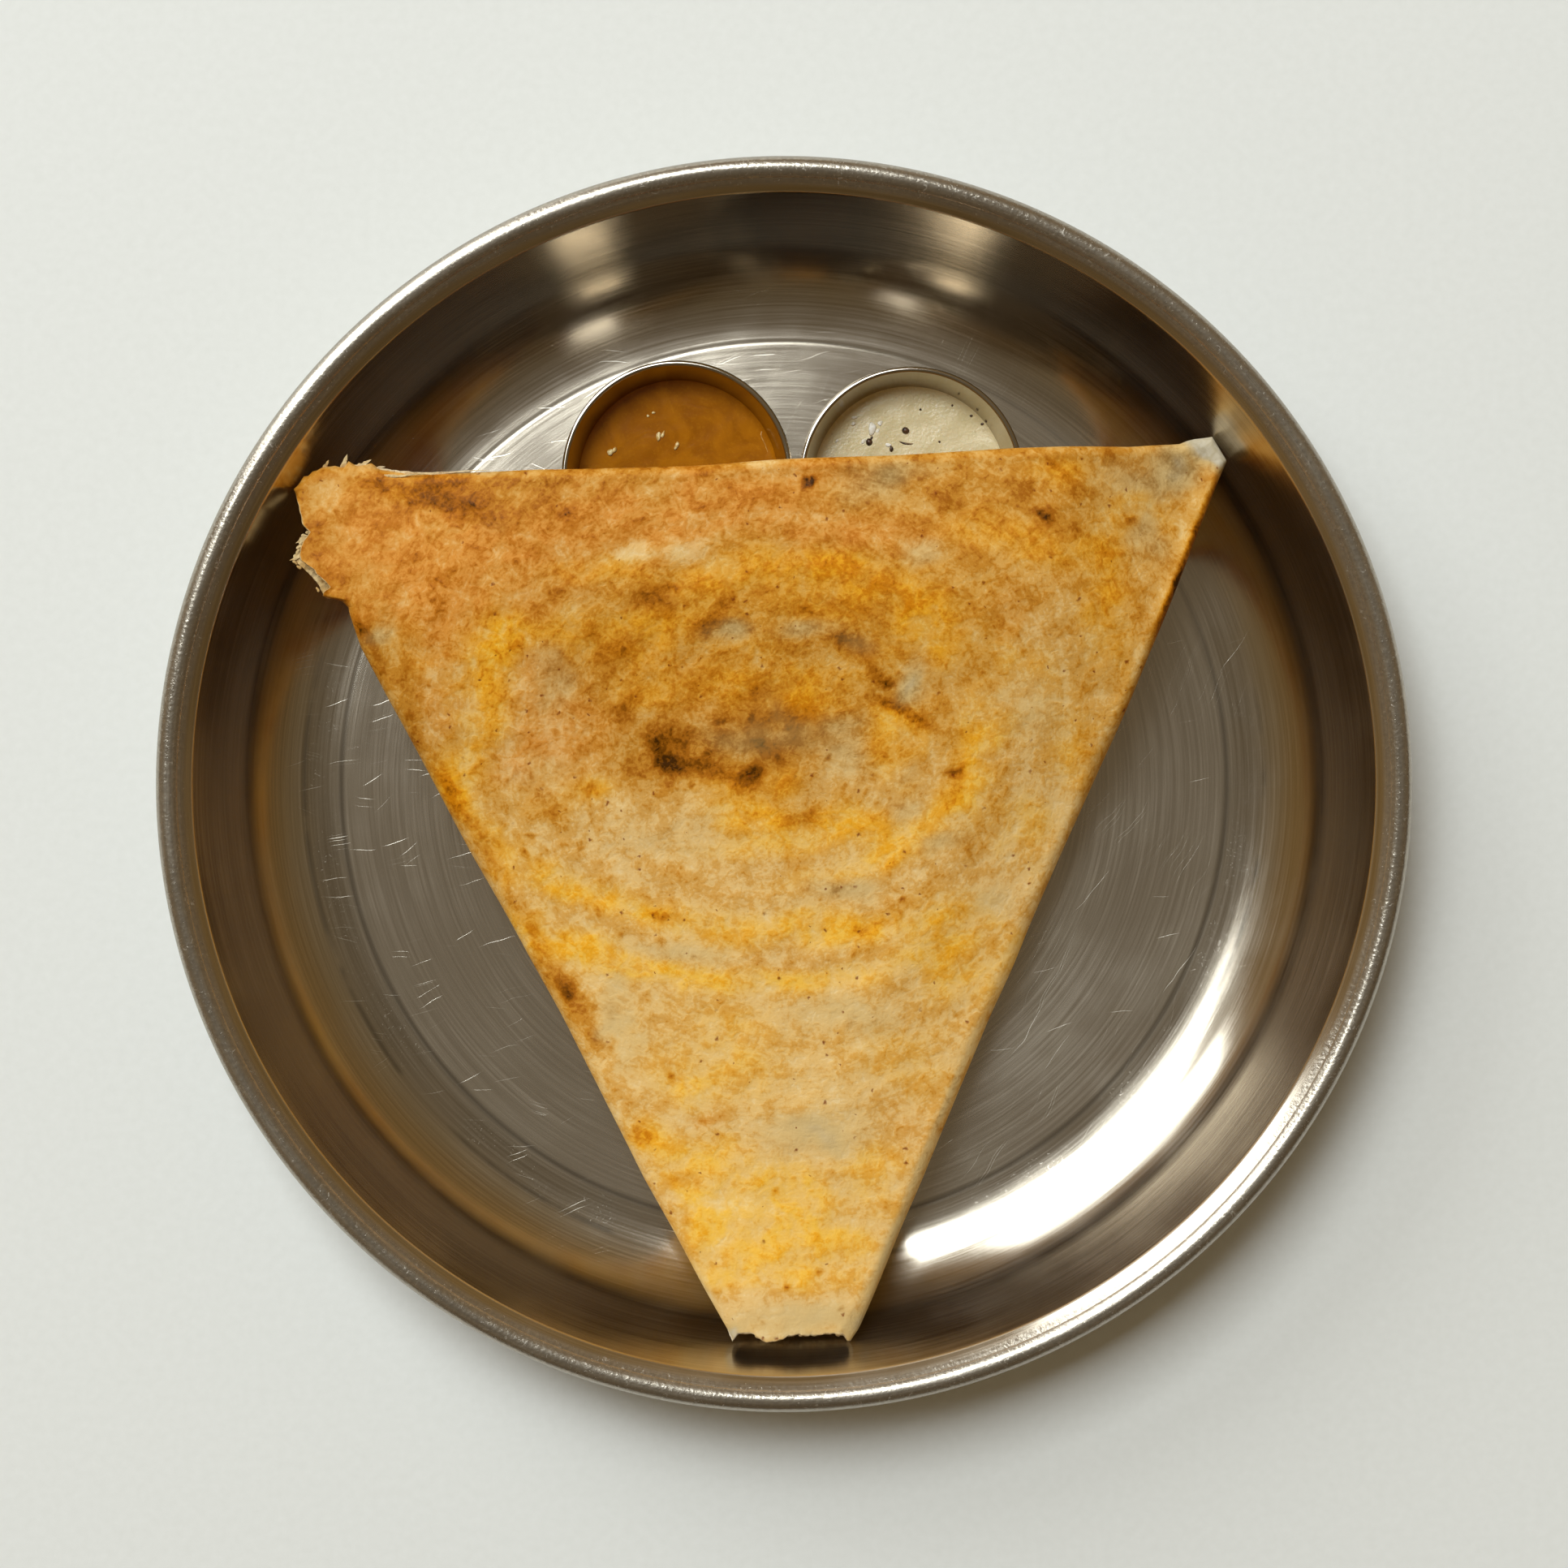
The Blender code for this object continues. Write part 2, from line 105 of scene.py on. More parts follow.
def surface(name, grids, finishes, wears=None, merge=2e-6):
    """One mesh from grids of points, each rows by columns by 3, made into quads.

    Points that meet are merged, so seams and poles close, and the normals are turned outwards at
    the end. Grid number i takes the finish numbered wears[i], or the first.
    """
    points, faces, finish = [], [], []
    start = 0
    for number, grid in enumerate(grids):
        rows, columns = grid.shape[:2]
        index = start + np.arange(rows * columns).reshape(rows, columns)
        quads = np.stack((index[:-1, :-1], index[:-1, 1:], index[1:, 1:], index[1:, :-1]), axis=-1)
        quads = quads.reshape(-1, 4)
        points.append(grid.reshape(-1, 3))
        faces.append(quads)
        finish.append(np.full(len(quads), wears[number] if wears else 0))
        start += rows * columns
    mesh = bpy.data.meshes.new(name)
    mesh.from_pydata(np.concatenate(points).tolist(), [], np.concatenate(faces).tolist())
    mesh.polygons.foreach_set("material_index", np.concatenate(finish).astype(np.int32))
    shape = bmesh.new()
    shape.from_mesh(mesh)
    bmesh.ops.remove_doubles(shape, verts=shape.verts, dist=merge)
    bmesh.ops.recalc_face_normals(shape, faces=shape.faces)
    shape.to_mesh(mesh)
    shape.free()
    for made in finishes:
        mesh.materials.append(made)
    mesh.shade_smooth()
    piece = bpy.data.objects.new(name, mesh)
    bpy.context.scene.collection.objects.link(piece)
    return piece


def turned(profile, sides, centre=(0.0, 0.0)):
    """Grid of a profile (r, z) turned a full turn about an upright axis through the centre."""
    turn = np.linspace(0, 2 * math.pi, sides + 1)[None, :]
    r, z = profile[:, :1], profile[:, 1:]
    x, y = centre[0] + r * np.cos(turn), centre[1] + r * np.sin(turn)
    return np.stack((x, y, np.broadcast_to(z, x.shape)), axis=-1)


def add(tree, kind, inputs=None, **settings):
    """A new node of a kind. Settings are its own values, and inputs are values or sockets."""
    node = tree.nodes.new("ShaderNode" + kind)
    for name, value in settings.items():
        setattr(node, name, value)
    for name, value in (inputs or {}).items():
        if isinstance(value, bpy.types.NodeSocket):
            tree.links.new(value, node.inputs[name])
        else:
            node.inputs[name].default_value = value
    return node


def calc(tree, operation, *values):
    """The result of a Math node on up to three values or sockets."""
    return add(tree, "Math", dict(enumerate(values)), operation=operation).outputs[0]


def times(tree, total, *values):
    """The product of values or sockets, multiplied in turn."""
    for value in values:
        total = calc(tree, "MULTIPLY", total, value)
    return total


def plus(tree, total, *values):
    """The sum of values or sockets, added in turn."""
    for value in values:
        total = calc(tree, "ADD", total, value)
    return total


def centred(tree, value, reach):
    """A value from 0 to 1 turned into one from minus half the reach to plus half the reach."""
    return calc(tree, "MULTIPLY_ADD", value, reach, -reach / 2)


def split(tree, value):
    """The three parts of a vector."""
    return add(tree, "SeparateXYZ", {0: value}).outputs


def joined(tree, x, y, z=0.0):
    """A vector of three parts."""
    return add(tree, "CombineXYZ", {0: x, 1: y, 2: z}).outputs[0]


def vector(tree, operation, *values):
    """The vector that a Vector Math node makes of one or two vectors."""
    return add(tree, "VectorMath", dict(enumerate(values)), operation=operation).outputs[0]


def outwards(tree, flat):
    """How far a level vector reaches, and the three parts of its direction."""
    reach = add(tree, "VectorMath", {0: flat}, operation="LENGTH").outputs["Value"]
    return reach, split(tree, vector(tree, "NORMALIZE", flat))


def noise(tree, place, scale, detail=2.0, distortion=0.0, roughness=0.5, output=0):
    """Noise from 0 to 1 at a place, with about one lump to each 1/scale metres."""
    inputs = {"Vector": place, "Scale": scale, "Detail": detail, "Distortion": distortion,
              "Roughness": roughness}
    return add(tree, "TexNoise", inputs).outputs[output]


def pushed(tree, start, place, scale, reach, detail=1.0):
    """A start moved aside by coloured noise at a place, times the reach in metres."""
    aside = noise(tree, place, scale, detail, output="Color")
    aside = add(tree, "VectorMath", {0: aside, "Scale": reach}, operation="SCALE").outputs[0]
    return vector(tree, "ADD", start, aside)


def fade(tree, value, low, high, start=0.0, end=1.0):
    """A value mapped smoothly from low..high to start..end, and held beyond them."""
    inputs = {"Value": value, "From Min": low, "From Max": high, "To Min": start, "To Max": end}
    return add(tree, "MapRange", inputs, interpolation_type="SMOOTHSTEP").outputs[0]


def layers(tree, tone, *over):
    """A tone with colours laid over it in turn, each given as (share, colour)."""
    for share, colour in over:
        tone = add(tree, "Mix", {0: share, 6: tone, 7: colour}, data_type="RGBA").outputs[2]
    return tone


def new_material(name, **values):
    """A material whose Principled BSDF's sockets hold the values, its tree, shader and place."""
    made = bpy.data.materials.new(name)
    made.use_nodes = True
    tree = made.node_tree
    shader = tree.nodes["Principled BSDF"]
    for key, value in values.items():
        shader.inputs[key.replace("_", " ")].default_value = value
    return made, tree, shader, add(tree, "TexCoord").outputs["Object"]


def relief(tree, shader, height, strength=1.0, distance=1.0):
    """Bends the shader's normals as a height in metres would."""
    bump = add(tree, "Bump", {"Height": height, "Strength": strength, "Distance": distance})
    tree.links.new(bump.outputs[0], shader.inputs["Normal"])


def new_group(name, inputs, outputs):
    """An empty shader group with float or vector inputs and float outputs."""
    group = bpy.data.node_groups.new(name, "ShaderNodeTree")
    for label, kind, value in inputs:
        socket = group.interface.new_socket(label, in_out="INPUT", socket_type="NodeSocket" + kind)
        if kind == "Float":
            socket.default_value = value
    for label in outputs:
        group.interface.new_socket(label, in_out="OUTPUT", socket_type="NodeSocketFloat")
    return group, group.nodes.new("NodeGroupInput").outputs, group.nodes.new("NodeGroupOutput").inputs


def ring_polish():
    """Polish lines in rings about the Z axis, cloudy wear, and short random scratches.

    The lines are noise over the radius plus height, which hardly changes round the ring. The
    scratches are the cores of a few Voronoi cells, stretched about fifty times, bent by noise and
    laid at several slants. On the left they run nearly level, and on the right they run steeply.
    """
    tree, given, gives = new_group(
        "ring_polish",
        [("Vector", "Vector", None), ("Lines per metre", "Float", 1600.0), ("Scratches", "Float", 1.0)],
        ["Lines", "Clouds", "Scratch"],
    )
    start = given["Vector"]
    x, y, z = split(tree, start)
    radius, way = outwards(tree, joined(tree, x, y))
    depth = times(tree, plus(tree, radius, z), given["Lines per metre"])
    spun = joined(tree, times(tree, way[0], POLISH_AROUND), times(tree, way[1], POLISH_AROUND), depth)
    tree.links.new(noise(tree, spun, 1.0, 3.0, roughness=0.7), gives["Lines"])
    tree.links.new(noise(tree, start, 38.0, 4.0), gives["Clouds"])
    place = pushed(tree, start, start, 26.0, 0.012)
    place = pushed(tree, place, start, 110.0, 0.0022)
    on_side = {"left": fade(tree, x, 0.03, -0.03), "right": fade(tree, x, -0.03, 0.03)}
    marks = []
    for slant, length, gap, left_out, bright, side in SCRATCHES:
        turn = add(tree, "VectorRotate", {"Vector": place, "Angle": math.radians(-slant)},
                   rotation_type="Z_AXIS").outputs[0]
        stretched = vector(tree, "MULTIPLY", turn, (1 / length, 1 / gap, 0.0))
        cell = add(tree, "TexVoronoi", {"Vector": stretched, "Scale": 1.0}, voronoi_dimensions="2D").outputs
        core = fade(tree, cell["Distance"], 0.26, 0.06, 0.0, bright)
        chosen = fade(tree, split(tree, cell["Color"])[0], left_out, 1.0)
        marks.append(times(tree, core, chosen, on_side[side]))
    scratch = times(tree, calc(tree, "MINIMUM", plus(tree, *marks), 1.0), given["Scratches"])
    tree.links.new(scratch, gives["Scratch"])
    return tree


ring_polish_group = ring_polish()


def polish(tree, place, lines_per_metre, scratches):
    """The lines, clouds and scratches of the ring polish at a place."""
    inputs = {"Vector": place, "Lines per metre": lines_per_metre, "Scratches": scratches}
    made = add(tree, "Group", inputs, node_tree=ring_polish_group).outputs
    return made["Lines"], made["Clouds"], made["Scratch"]


def off(tree, value, target):
    """How far a value is from a target, either way."""
    return calc(tree, "ABSOLUTE", calc(tree, "SUBTRACT", value, target))


def plate_steel():
    """Stainless steel polished in rings: scratched on the floor, grainy and duller on the bead.

    The used side is the half nearest the dosa's tip. There the pressed ring and the wall's foot
    are darker, and the band between them is worn, hatched and flecked.
    """
    made, tree, shader, place = new_material("plate_steel", Anisotropic=0.6, Anisotropic_Rotation=0.25)
    lines, clouds, scratch = polish(tree, place, 1500.0, 1.0)
    x, y, z = split(tree, place)
    radius, way = outwards(tree, joined(tree, x, y))
    used_side = fade(tree, way[1], 0.45, 0.05)
    bead = fade(tree, radius, LIP_RADIUS + 0.0006, LIP_RADIUS + 0.0022)
    floor = times(tree, fade(tree, radius, DULL_FLOOR[1], DULL_FLOOR[0]), fade(tree, z, 0.004, 0.002))
    dull = times(tree, calc(tree, "MAXIMUM", floor, bead), -0.10)
    tree.links.new(plus(tree, dull, 1.0), shader.inputs["Metallic"])
    ring = fade(tree, off(tree, radius, RING_RADIUS), RING_WIDTH * 0.65, 0.0)
    ring = times(tree, ring, calc(tree, "MULTIPLY_ADD", used_side, 0.5, 0.5))
    foot = fade(tree, off(tree, radius, WALL_FOOT), FOOT_DIRT, 0.0)
    foot = times(tree, foot, fade(tree, clouds, 0.42, 0.56), used_side)
    grain = noise(tree, place, 1100.0)
    flakes = noise(tree, place, 620.0, 3.0, distortion=2.0)
    worn_from, worn_full, worn_still, worn_to = WORN_BAND
    worn = times(tree, fade(tree, radius, worn_from, worn_full), fade(tree, radius, worn_to, worn_still),
                 used_side, fade(tree, clouds, 0.38, 0.66))
    hatch_at = (times(tree, part, HATCH_AROUND) for part in way[:2])
    hatch_at = joined(tree, *hatch_at, times(tree, radius, HATCH_ACROSS))
    hatch = noise(tree, hatch_at, 1.0, 3.0, distortion=1.2)
    flaked = times(tree, calc(tree, "MAXIMUM", worn, bead), fade(tree, flakes, 0.62, 0.74, 0.0, 0.4))
    hatched = times(tree, worn, fade(tree, hatch, 0.56, 0.80, 0.0, 0.16))
    scratch = times(tree, scratch, fade(tree, radius, 0.135, 0.108, 0.1, 1.0))
    scratch = calc(tree, "MAXIMUM", calc(tree, "MAXIMUM", scratch, flaked), hatched)
    tone = layers(
        tree, tint(197, 188, 173), (clouds, tint(178, 168, 151)),
        (fade(tree, lines, 0.3, 0.75), tint(207, 198, 183)),
        (times(tree, bead, grain), tint(150, 143, 133)),
        (times(tree, worn, 0.35), tint(140, 130, 114)),
        (times(tree, foot, 0.5), tint(100, 95, 87)),
        (times(tree, ring, 0.6), tint(108, 100, 88)),
        (scratch, tint(236, 231, 222)),
    )
    tree.links.new(tone, shader.inputs["Base Color"])
    rough = plus(tree, fade(tree, lines, 0.2, 0.8, 0.14, 0.21), fade(tree, clouds, 0.35, 0.7, 0.0, 0.06),
                 times(tree, bead, 0.05), times(tree, scratch, 0.40))
    tree.links.new(rough, shader.inputs["Roughness"])
    swell = noise(tree, place, 16.0, 1.0)
    relief(tree, shader, plus(
        tree, times(tree, lines, 0.0000035), times(tree, swell, 0.00028), times(tree, clouds, 0.00004),
        times(tree, scratch, -0.00002), times(tree, bead, grain, 0.00006),
    ))
    around = add(tree, "Tangent", direction_type="RADIAL", axis="Z")
    tree.links.new(around.outputs[0], shader.inputs["Tangent"])
    return made


def plate_profile():
    """The sheet's outline from the axis, over the inside, round the bead and back underneath."""
    fillet = (FLOOR_RADIUS, SHEET + FILLET)
    bead = (PLATE_RADIUS - BEAD, plate_high.z - BEAD)
    groove = np.linspace(-1, 1, 13)
    ring = np.column_stack((
        RING_RADIUS + groove * RING_WIDTH / 2,
        SHEET - RING_DEPTH * (0.5 + 0.5 * np.cos(math.pi * groove)),
    ))
    inside = arc(fillet, FILLET, -90, -90 + WALL_SLOPE, 32)
    rolled = arc(bead, BEAD, 150, -120, 44)
    outside = arc(fillet, FILLET + SHEET, -90 + WALL_SLOPE, -90, 20)
    lip = (LIP_RADIUS, inside[-1, 1] + (LIP_RADIUS - inside[-1, 0]) * math.tan(math.radians(WALL_SLOPE)))
    under_lip = (LIP_RADIUS + SHEET * 0.6, bead[1] - BEAD * 0.6)
    return np.vstack((
        [(0.0, SHEET)], straight((0, SHEET), ring[0], 40), ring, inside,
        straight(inside[-1], lip, 14), [lip], rolled, [under_lip],
        straight(under_lip, outside[0], 10), outside, straight(outside[-1], (0, 0), 12), [(0.0, 0.0)],
    ))


plate = surface("plate_turned", [turned(plate_profile(), PLATE_SIDES)], [plate_steel()])
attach(plate, "root")
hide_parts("plate")

# ---- Bowls -----------------------------------------------------------------------------------
# Two small bowls, each pressed from one disc of 0.7 mm stainless steel, with a steep wall and a rim
# rolled to 1.5 mm. They are polished brighter than the plate, and stand side by side on its floor.

BOWL_HEIGHT = 0.026
BOWL_SHEET = 0.0007
BOWL_BEAD = 0.00075
BOWL_CORNER = 0.0065
BOWL_SLOPE = 78
BOWL_SIDES = 200


def bowl_size(node):
    """Middle (x, y), outer radius, and height of the foot of a bowl, from its CAD box."""
    low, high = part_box(node)
    return ((low.x + high.x) / 2, (low.y + high.y) / 2), (high.x - low.x) / 2, low.z


def bowl_inside(radius, foot, inset):
    """A bowl's inside from the axis to the top of its corner, moved inwards by inset."""
    slope = math.radians(BOWL_SLOPE)
    wall_foot = BOWL_SHEET + BOWL_CORNER * (1 - math.cos(slope))
    wall_r = radius - 2 * BOWL_BEAD - (BOWL_HEIGHT - BOWL_BEAD - wall_foot) / math.tan(slope)
    centre = (wall_r - BOWL_CORNER * math.sin(slope), foot + BOWL_SHEET + BOWL_CORNER)
    corner = arc(centre, BOWL_CORNER - inset, -90, -90 + BOWL_SLOPE, 14)
    axis = (0.0, foot + BOWL_SHEET + inset)
    return np.vstack(([axis], straight(axis, corner[0], 10), corner))


def bowl_profile(radius, foot):
    """Inside up to the rim, round the rolled rim, and back down the outside to the axis."""
    inside = bowl_inside(radius, foot, 0.0)
    outside = bowl_inside(radius, foot, -BOWL_SHEET)[::-1]
    rolled = arc((radius - BOWL_BEAD, foot + BOWL_HEIGHT - BOWL_BEAD), BOWL_BEAD, 180, -90, 18)
    return np.vstack((
        inside, straight(inside[-1], rolled[0], 14), rolled,
        straight(rolled[-1], outside[0], 14), outside,
    ))


def bowl_steel(name, centre):
    """Bright stainless steel, finely polished in rings about the bowl's own axis."""
    made, tree, shader, place = new_material(name, Metallic=1.0, Anisotropic=0.4)
    about = add(tree, "Mapping", {"Vector": place, "Location": (-centre[0], -centre[1], 0)},
                vector_type="POINT").outputs[0]
    out = vector(tree, "NORMALIZE", vector(tree, "MULTIPLY", about, (1.0, 1.0, 0.0)))
    tree.links.new(out, shader.inputs["Tangent"])
    lines, clouds, scratch = polish(tree, about, 2600.0, 0.5)
    tone = layers(tree, tint(190, 182, 170), (clouds, tint(172, 164, 151)))
    tree.links.new(tone, shader.inputs["Base Color"])
    rough = plus(tree, fade(tree, lines, 0.2, 0.8, 0.10, 0.17), times(tree, scratch, 0.2))
    tree.links.new(rough, shader.inputs["Roughness"])
    relief(tree, shader, plus(tree, times(tree, lines, 0.000002), times(tree, clouds, 0.00006)))
    return made


for side in ("left", "right"):
    centre, radius, foot = bowl_size("bowl_" + side)
    bowl = surface(
        f"bowl_{side}_turned", [turned(bowl_profile(radius, foot), BOWL_SIDES, centre)],
        [bowl_steel(f"bowl_steel_{side}", centre)],
    )
    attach(bowl, "root")
    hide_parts("bowl_" + side)

# ---- Sambar ----------------------------------------------------------------------------------
# Lentil soup in the left bowl: thin, glossy and orange-brown, ladled in to 11 mm under the rim. A
# few pale lentils and a thread of onion float on it.

BOWL_LEVEL = 0.011
INTO_WALL = 0.00015
MENISCUS = 0.0007


def lumps(x, y, size, seed):
    """Smooth random heights from 0 to 1 over x and y, with about one lump to each size.

    Seeded random values stand on a square lattice, and the height between them follows a smooth
    cubic in each direction.
    """
    lattice = np.random.default_rng(seed).random((97, 97))
    u, v = x / size + 48.5, y / size + 48.5
    i, j = np.floor(u).astype(int), np.floor(v).astype(int)
    s, t = u - i, v - j
    s, t = s * s * (3 - 2 * s), t * t * (3 - 2 * t)

    def corner(a, b):
        """The lattice's value at a corner of each point's square."""
        return lattice[(i + a) % 97, (j + b) % 97]

    low = corner(0, 0) * (1 - s) + corner(1, 0) * s
    high = corner(0, 1) * (1 - s) + corner(1, 1) * s
    return low * (1 - t) + high * t


def filling(node, bowl_node, swell, seed):
    """Grid of the food that fills a bowl: the bowl's inside, and a top that creeps up the wall.

    The top's height is the level, plus a meniscus that falls off exponentially from the wall, plus
    lumps of the given swell.
    """
    centre, radius, foot = bowl_size(bowl_node)
    inside = bowl_inside(radius, foot, -INTO_WALL)
    level = foot + BOWL_HEIGHT - BOWL_LEVEL
    top = level + MENISCUS
    side = inside[-1, 0] + (top - inside[-1, 1]) / math.tan(math.radians(BOWL_SLOPE))
    share = np.linspace(1, 0, 70)[:, None] ** 0.8
    surface_top = np.hstack((side * share, top + 0 * share))
    grid = turned(np.vstack((inside, straight(inside[-1], (side, top), 6), surface_top)), 180, centre)
    rows = grid[-len(share):]
    x, y = rows[..., 0] - centre[0], rows[..., 1] - centre[1]
    creep = np.exp(-(side - np.hypot(x, y)) / 0.0008)
    waves = swell * (0.7 * lumps(x, y, 0.006, seed) + 0.3 * lumps(x, y, 0.0022, seed + 1) - 0.5)
    rows[..., 2] = level + MENISCUS * creep + waves * (1 - creep)
    return grid, centre, level


def pebbles(places, seed, flat=0.7, rough=0.22):
    """Grids of small uneven bits: a sphere whose radius varies with direction by random waves.

    Each place is (x, y, z, radius, stretch, turn in degrees).
    """
    draws = np.random.default_rng(seed)
    grids = []
    for x, y, z, radius, stretch, turn in places:
        up, around = np.linspace(0, math.pi, 9), np.linspace(0, 2 * math.pi, 15)
        up, around = np.meshgrid(up, around, indexing="ij")
        phase = draws.uniform(0, 2 * math.pi, 4)
        uneven = 1 + rough * np.sin(up) * (
            np.sin(2 * around + phase[0]) * 0.6 + np.sin(3 * around + 2 * up + phase[1]) * 0.4)
        along = radius * stretch * uneven * np.sin(up) * np.cos(around)
        wide = radius * uneven * np.sin(up) * np.sin(around)
        high = radius * flat * uneven * np.cos(up)
        c, s = math.cos(math.radians(turn)), math.sin(math.radians(turn))
        grids.append(np.stack((x + c * along - s * wide, y + s * along + c * wide, z + high), axis=-1))
    return grids


def thread(points, radius):
    """Grid of a thin round thread along a smooth curve through points, its ends drawn to a tip."""
    points = np.array(points)
    knots = np.linspace(0, 1, len(points))
    share = np.linspace(0, 1, 40)
    path = np.stack([np.interp(share, knots, points[:, k]) for k in range(3)], axis=1)
    for _ in range(6):
        path[1:-1] = (path[:-2] + 2 * path[1:-1] + path[2:]) / 4
    way = np.gradient(path, axis=0)
    way /= np.linalg.norm(way, axis=1)[:, None]
    beside = np.cross(way, (0, 0, 1))
    above = np.cross(beside, way)
    turn = np.linspace(0, 2 * math.pi, 9)
    width = radius * np.sqrt(np.clip(np.sin(math.pi * share), 0, 1))[:, None, None]
    ring = beside[:, None] * np.cos(turn)[None, :, None] + above[:, None] * np.sin(turn)[None, :, None]
    return path[:, None] + width * ring


def food_piece(name, grids, finish, node):
    """A piece of food from grids, which rides on the plate and stands for a CAD node."""
    piece = surface(name, grids, [finish])
    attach(piece, "root")
    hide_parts(node)
    return piece


def sambar_soup():
    """Wet orange-brown soup, cloudy with ground lentil, under a thin gloss of oil."""
    made, tree, shader, place = new_material("sambar_soup", Roughness=0.12, Specular_IOR_Level=0.35)
    cloud = noise(tree, place, 120.0, 5.0, distortion=0.8)
    dust = noise(tree, place, 1500.0)
    tone = layers(
        tree, tint(150, 86, 2), (fade(tree, cloud, 0.35, 0.65), tint(172, 104, 6)),
        (fade(tree, dust, 0.5, 0.75, 0.0, 0.25), tint(190, 126, 20)),
    )
    tree.links.new(tone, shader.inputs["Base Color"])
    relief(tree, shader, cloud, distance=0.00012)
    return made


def plain_bit(name, dark, light, roughness):
    """A bit of food that varies between two colours from place to place."""
    made, tree, shader, place = new_material(name, Roughness=roughness)
    vary = noise(tree, place, 900.0, 3.0)
    tone = layers(tree, dark, (fade(tree, vary, 0.35, 0.65), light))
    tree.links.new(tone, shader.inputs["Base Color"])
    relief(tree, shader, vary, 0.6, 0.0002)
    return made


sambar_grid, sambar_centre, sambar_level = filling("sambar", "bowl_left", 0.0002, 11)
food_piece("sambar_soup", [sambar_grid], sambar_soup(), "sambar")


def on_food(centre, level, bits):
    """Places of bits given as (x, y, radius, stretch, turn) in mm from the middle of a bowl."""
    return [
        (centre[0] + x / 1000, centre[1] + y / 1000, level + radius / 5000, radius / 1000, stretch, turn)
        for x, y, radius, stretch, turn in bits
    ]


def on_top(centre, level, points):
    """Places on a food's top of points given as (x, y) in mm from the middle of a bowl."""
    return [(centre[0] + x / 1000, centre[1] + y / 1000, level) for x, y in points]


SAMBAR_LENTILS = [  # x, y, radius, stretch, turn
    (-16.9, 7.0, 0.75, 1.2, 150), (-15.9, 7.5, 0.55, 1.3, 40), (-5.0, 10.9, 0.60, 1.8, 75),
    (-3.9, 11.4, 0.45, 1.9, 80), (-0.5, 8.6, 0.55, 1.8, 75), (-6.2, 16.8, 0.32, 1.4, 30),
    (-7.6, 16.0, 0.28, 1.3, 20), (-9.0, -9.0, 0.8, 1.3, 60), (8.0, -7.0, 0.9, 1.2, 10),
]
food_piece(
    "sambar_lentils", pebbles(on_food(sambar_centre, sambar_level, SAMBAR_LENTILS), 5, 0.6, 0.3),
    plain_bit("lentil", tint(196, 150, 70), tint(246, 226, 168), 0.3), "sambar",
)
ONION_THREAD = [(19.3, 13.9), (20.9, 13.1), (20.3, 11.2), (21.4, 9.0), (22.2, 6.6)]
food_piece(
    "sambar_onion", [thread(on_top(sambar_centre, sambar_level, ONION_THREAD), 0.00022)],
    plain_bit("cooked_onion", tint(170, 112, 36), tint(205, 150, 70), 0.25), "sambar",
)

# ---- Chutney ---------------------------------------------------------------------------------
# Coconut ground with water in the right bowl: a thick cream-coloured sauce with a satin skin. Dark
# mustard seeds, white flecks of coconut and a shred of curry leaf lie on it.

chutney_grid, chutney_centre, chutney_level = filling("chutney", "bowl_right", 0.0005, 23)


def chutney_sauce():
    """Cream-coloured sauce, grainy with coconut, with faint beige and white specks."""
    made, tree, shader, place = new_material("chutney_sauce", Roughness=0.32, Subsurface_Weight=0.15,
                                             Subsurface_Radius=(0.0015, 0.0010, 0.0006))
    cloud = noise(tree, place, 170.0, 4.0)
    grain = noise(tree, place, 1300.0, 3.0)
    speck = add(tree, "TexVoronoi", {"Vector": place, "Scale": 420.0}).outputs["Distance"]
    tone = layers(
        tree, tint(216, 198, 150), (fade(tree, cloud, 0.35, 0.65), tint(224, 207, 164)),
        (fade(tree, speck, 0.16, 0.08, 0.0, 0.35), tint(178, 150, 104)),
        (fade(tree, grain, 0.58, 0.75, 0.0, 0.4), tint(240, 232, 212)),
    )
    tree.links.new(tone, shader.inputs["Base Color"])
    relief(tree, shader, plus(tree, grain, cloud), distance=0.00012)
    return made


food_piece("chutney_sauce", [chutney_grid], chutney_sauce(), "chutney")

MUSTARD_SEEDS = [  # x, y, radius, stretch, turn
    (-1.0, 13.1, 0.85, 1.05, 0), (-10.0, 10.2, 0.80, 1.2, 70), (-4.5, 8.5, 0.50, 1.4, 80),
    (18.1, 14.7, 0.42, 1.2, 10), (15.3, 16.7, 0.34, 1.2, 0), (10.6, 19.3, 0.28, 1.2, 60),
    (2.7, 18.3, 0.28, 1.0, 0), (7.4, 10.3, 0.30, 1.0, 0), (-9.4, 11.2, 0.32, 1.6, 60),
    (6.0, -7.0, 0.9, 1.1, 0), (-9.2, -12.1, 0.8, 1.1, 30), (12.1, -3.4, 0.8, 1.1, 0),
]
COCONUT_FLECKS = [  # in the same order
    (-9.3, 13.5, 0.85, 2.1, 74), (-7.3, 14.9, 0.5, 1.6, 60), (-7.9, 13.0, 0.45, 1.3, 30),
    (-11.4, 10.4, 0.5, 1.3, 20), (-5.3, 9.5, 0.55, 1.2, 0), (-13.7, 16.3, 0.40, 1.6, 10),
    (-13.9, 14.8, 0.42, 1.3, 20), (-18.0, 10.5, 0.35, 1.2, 0),
]
food_piece(
    "mustard_seeds", pebbles(on_food(chutney_centre, chutney_level, MUSTARD_SEEDS), 8, 0.85, 0.1),
    plain_bit("mustard_seed", tint(38, 24, 16), tint(92, 62, 40), 0.4), "chutney",
)
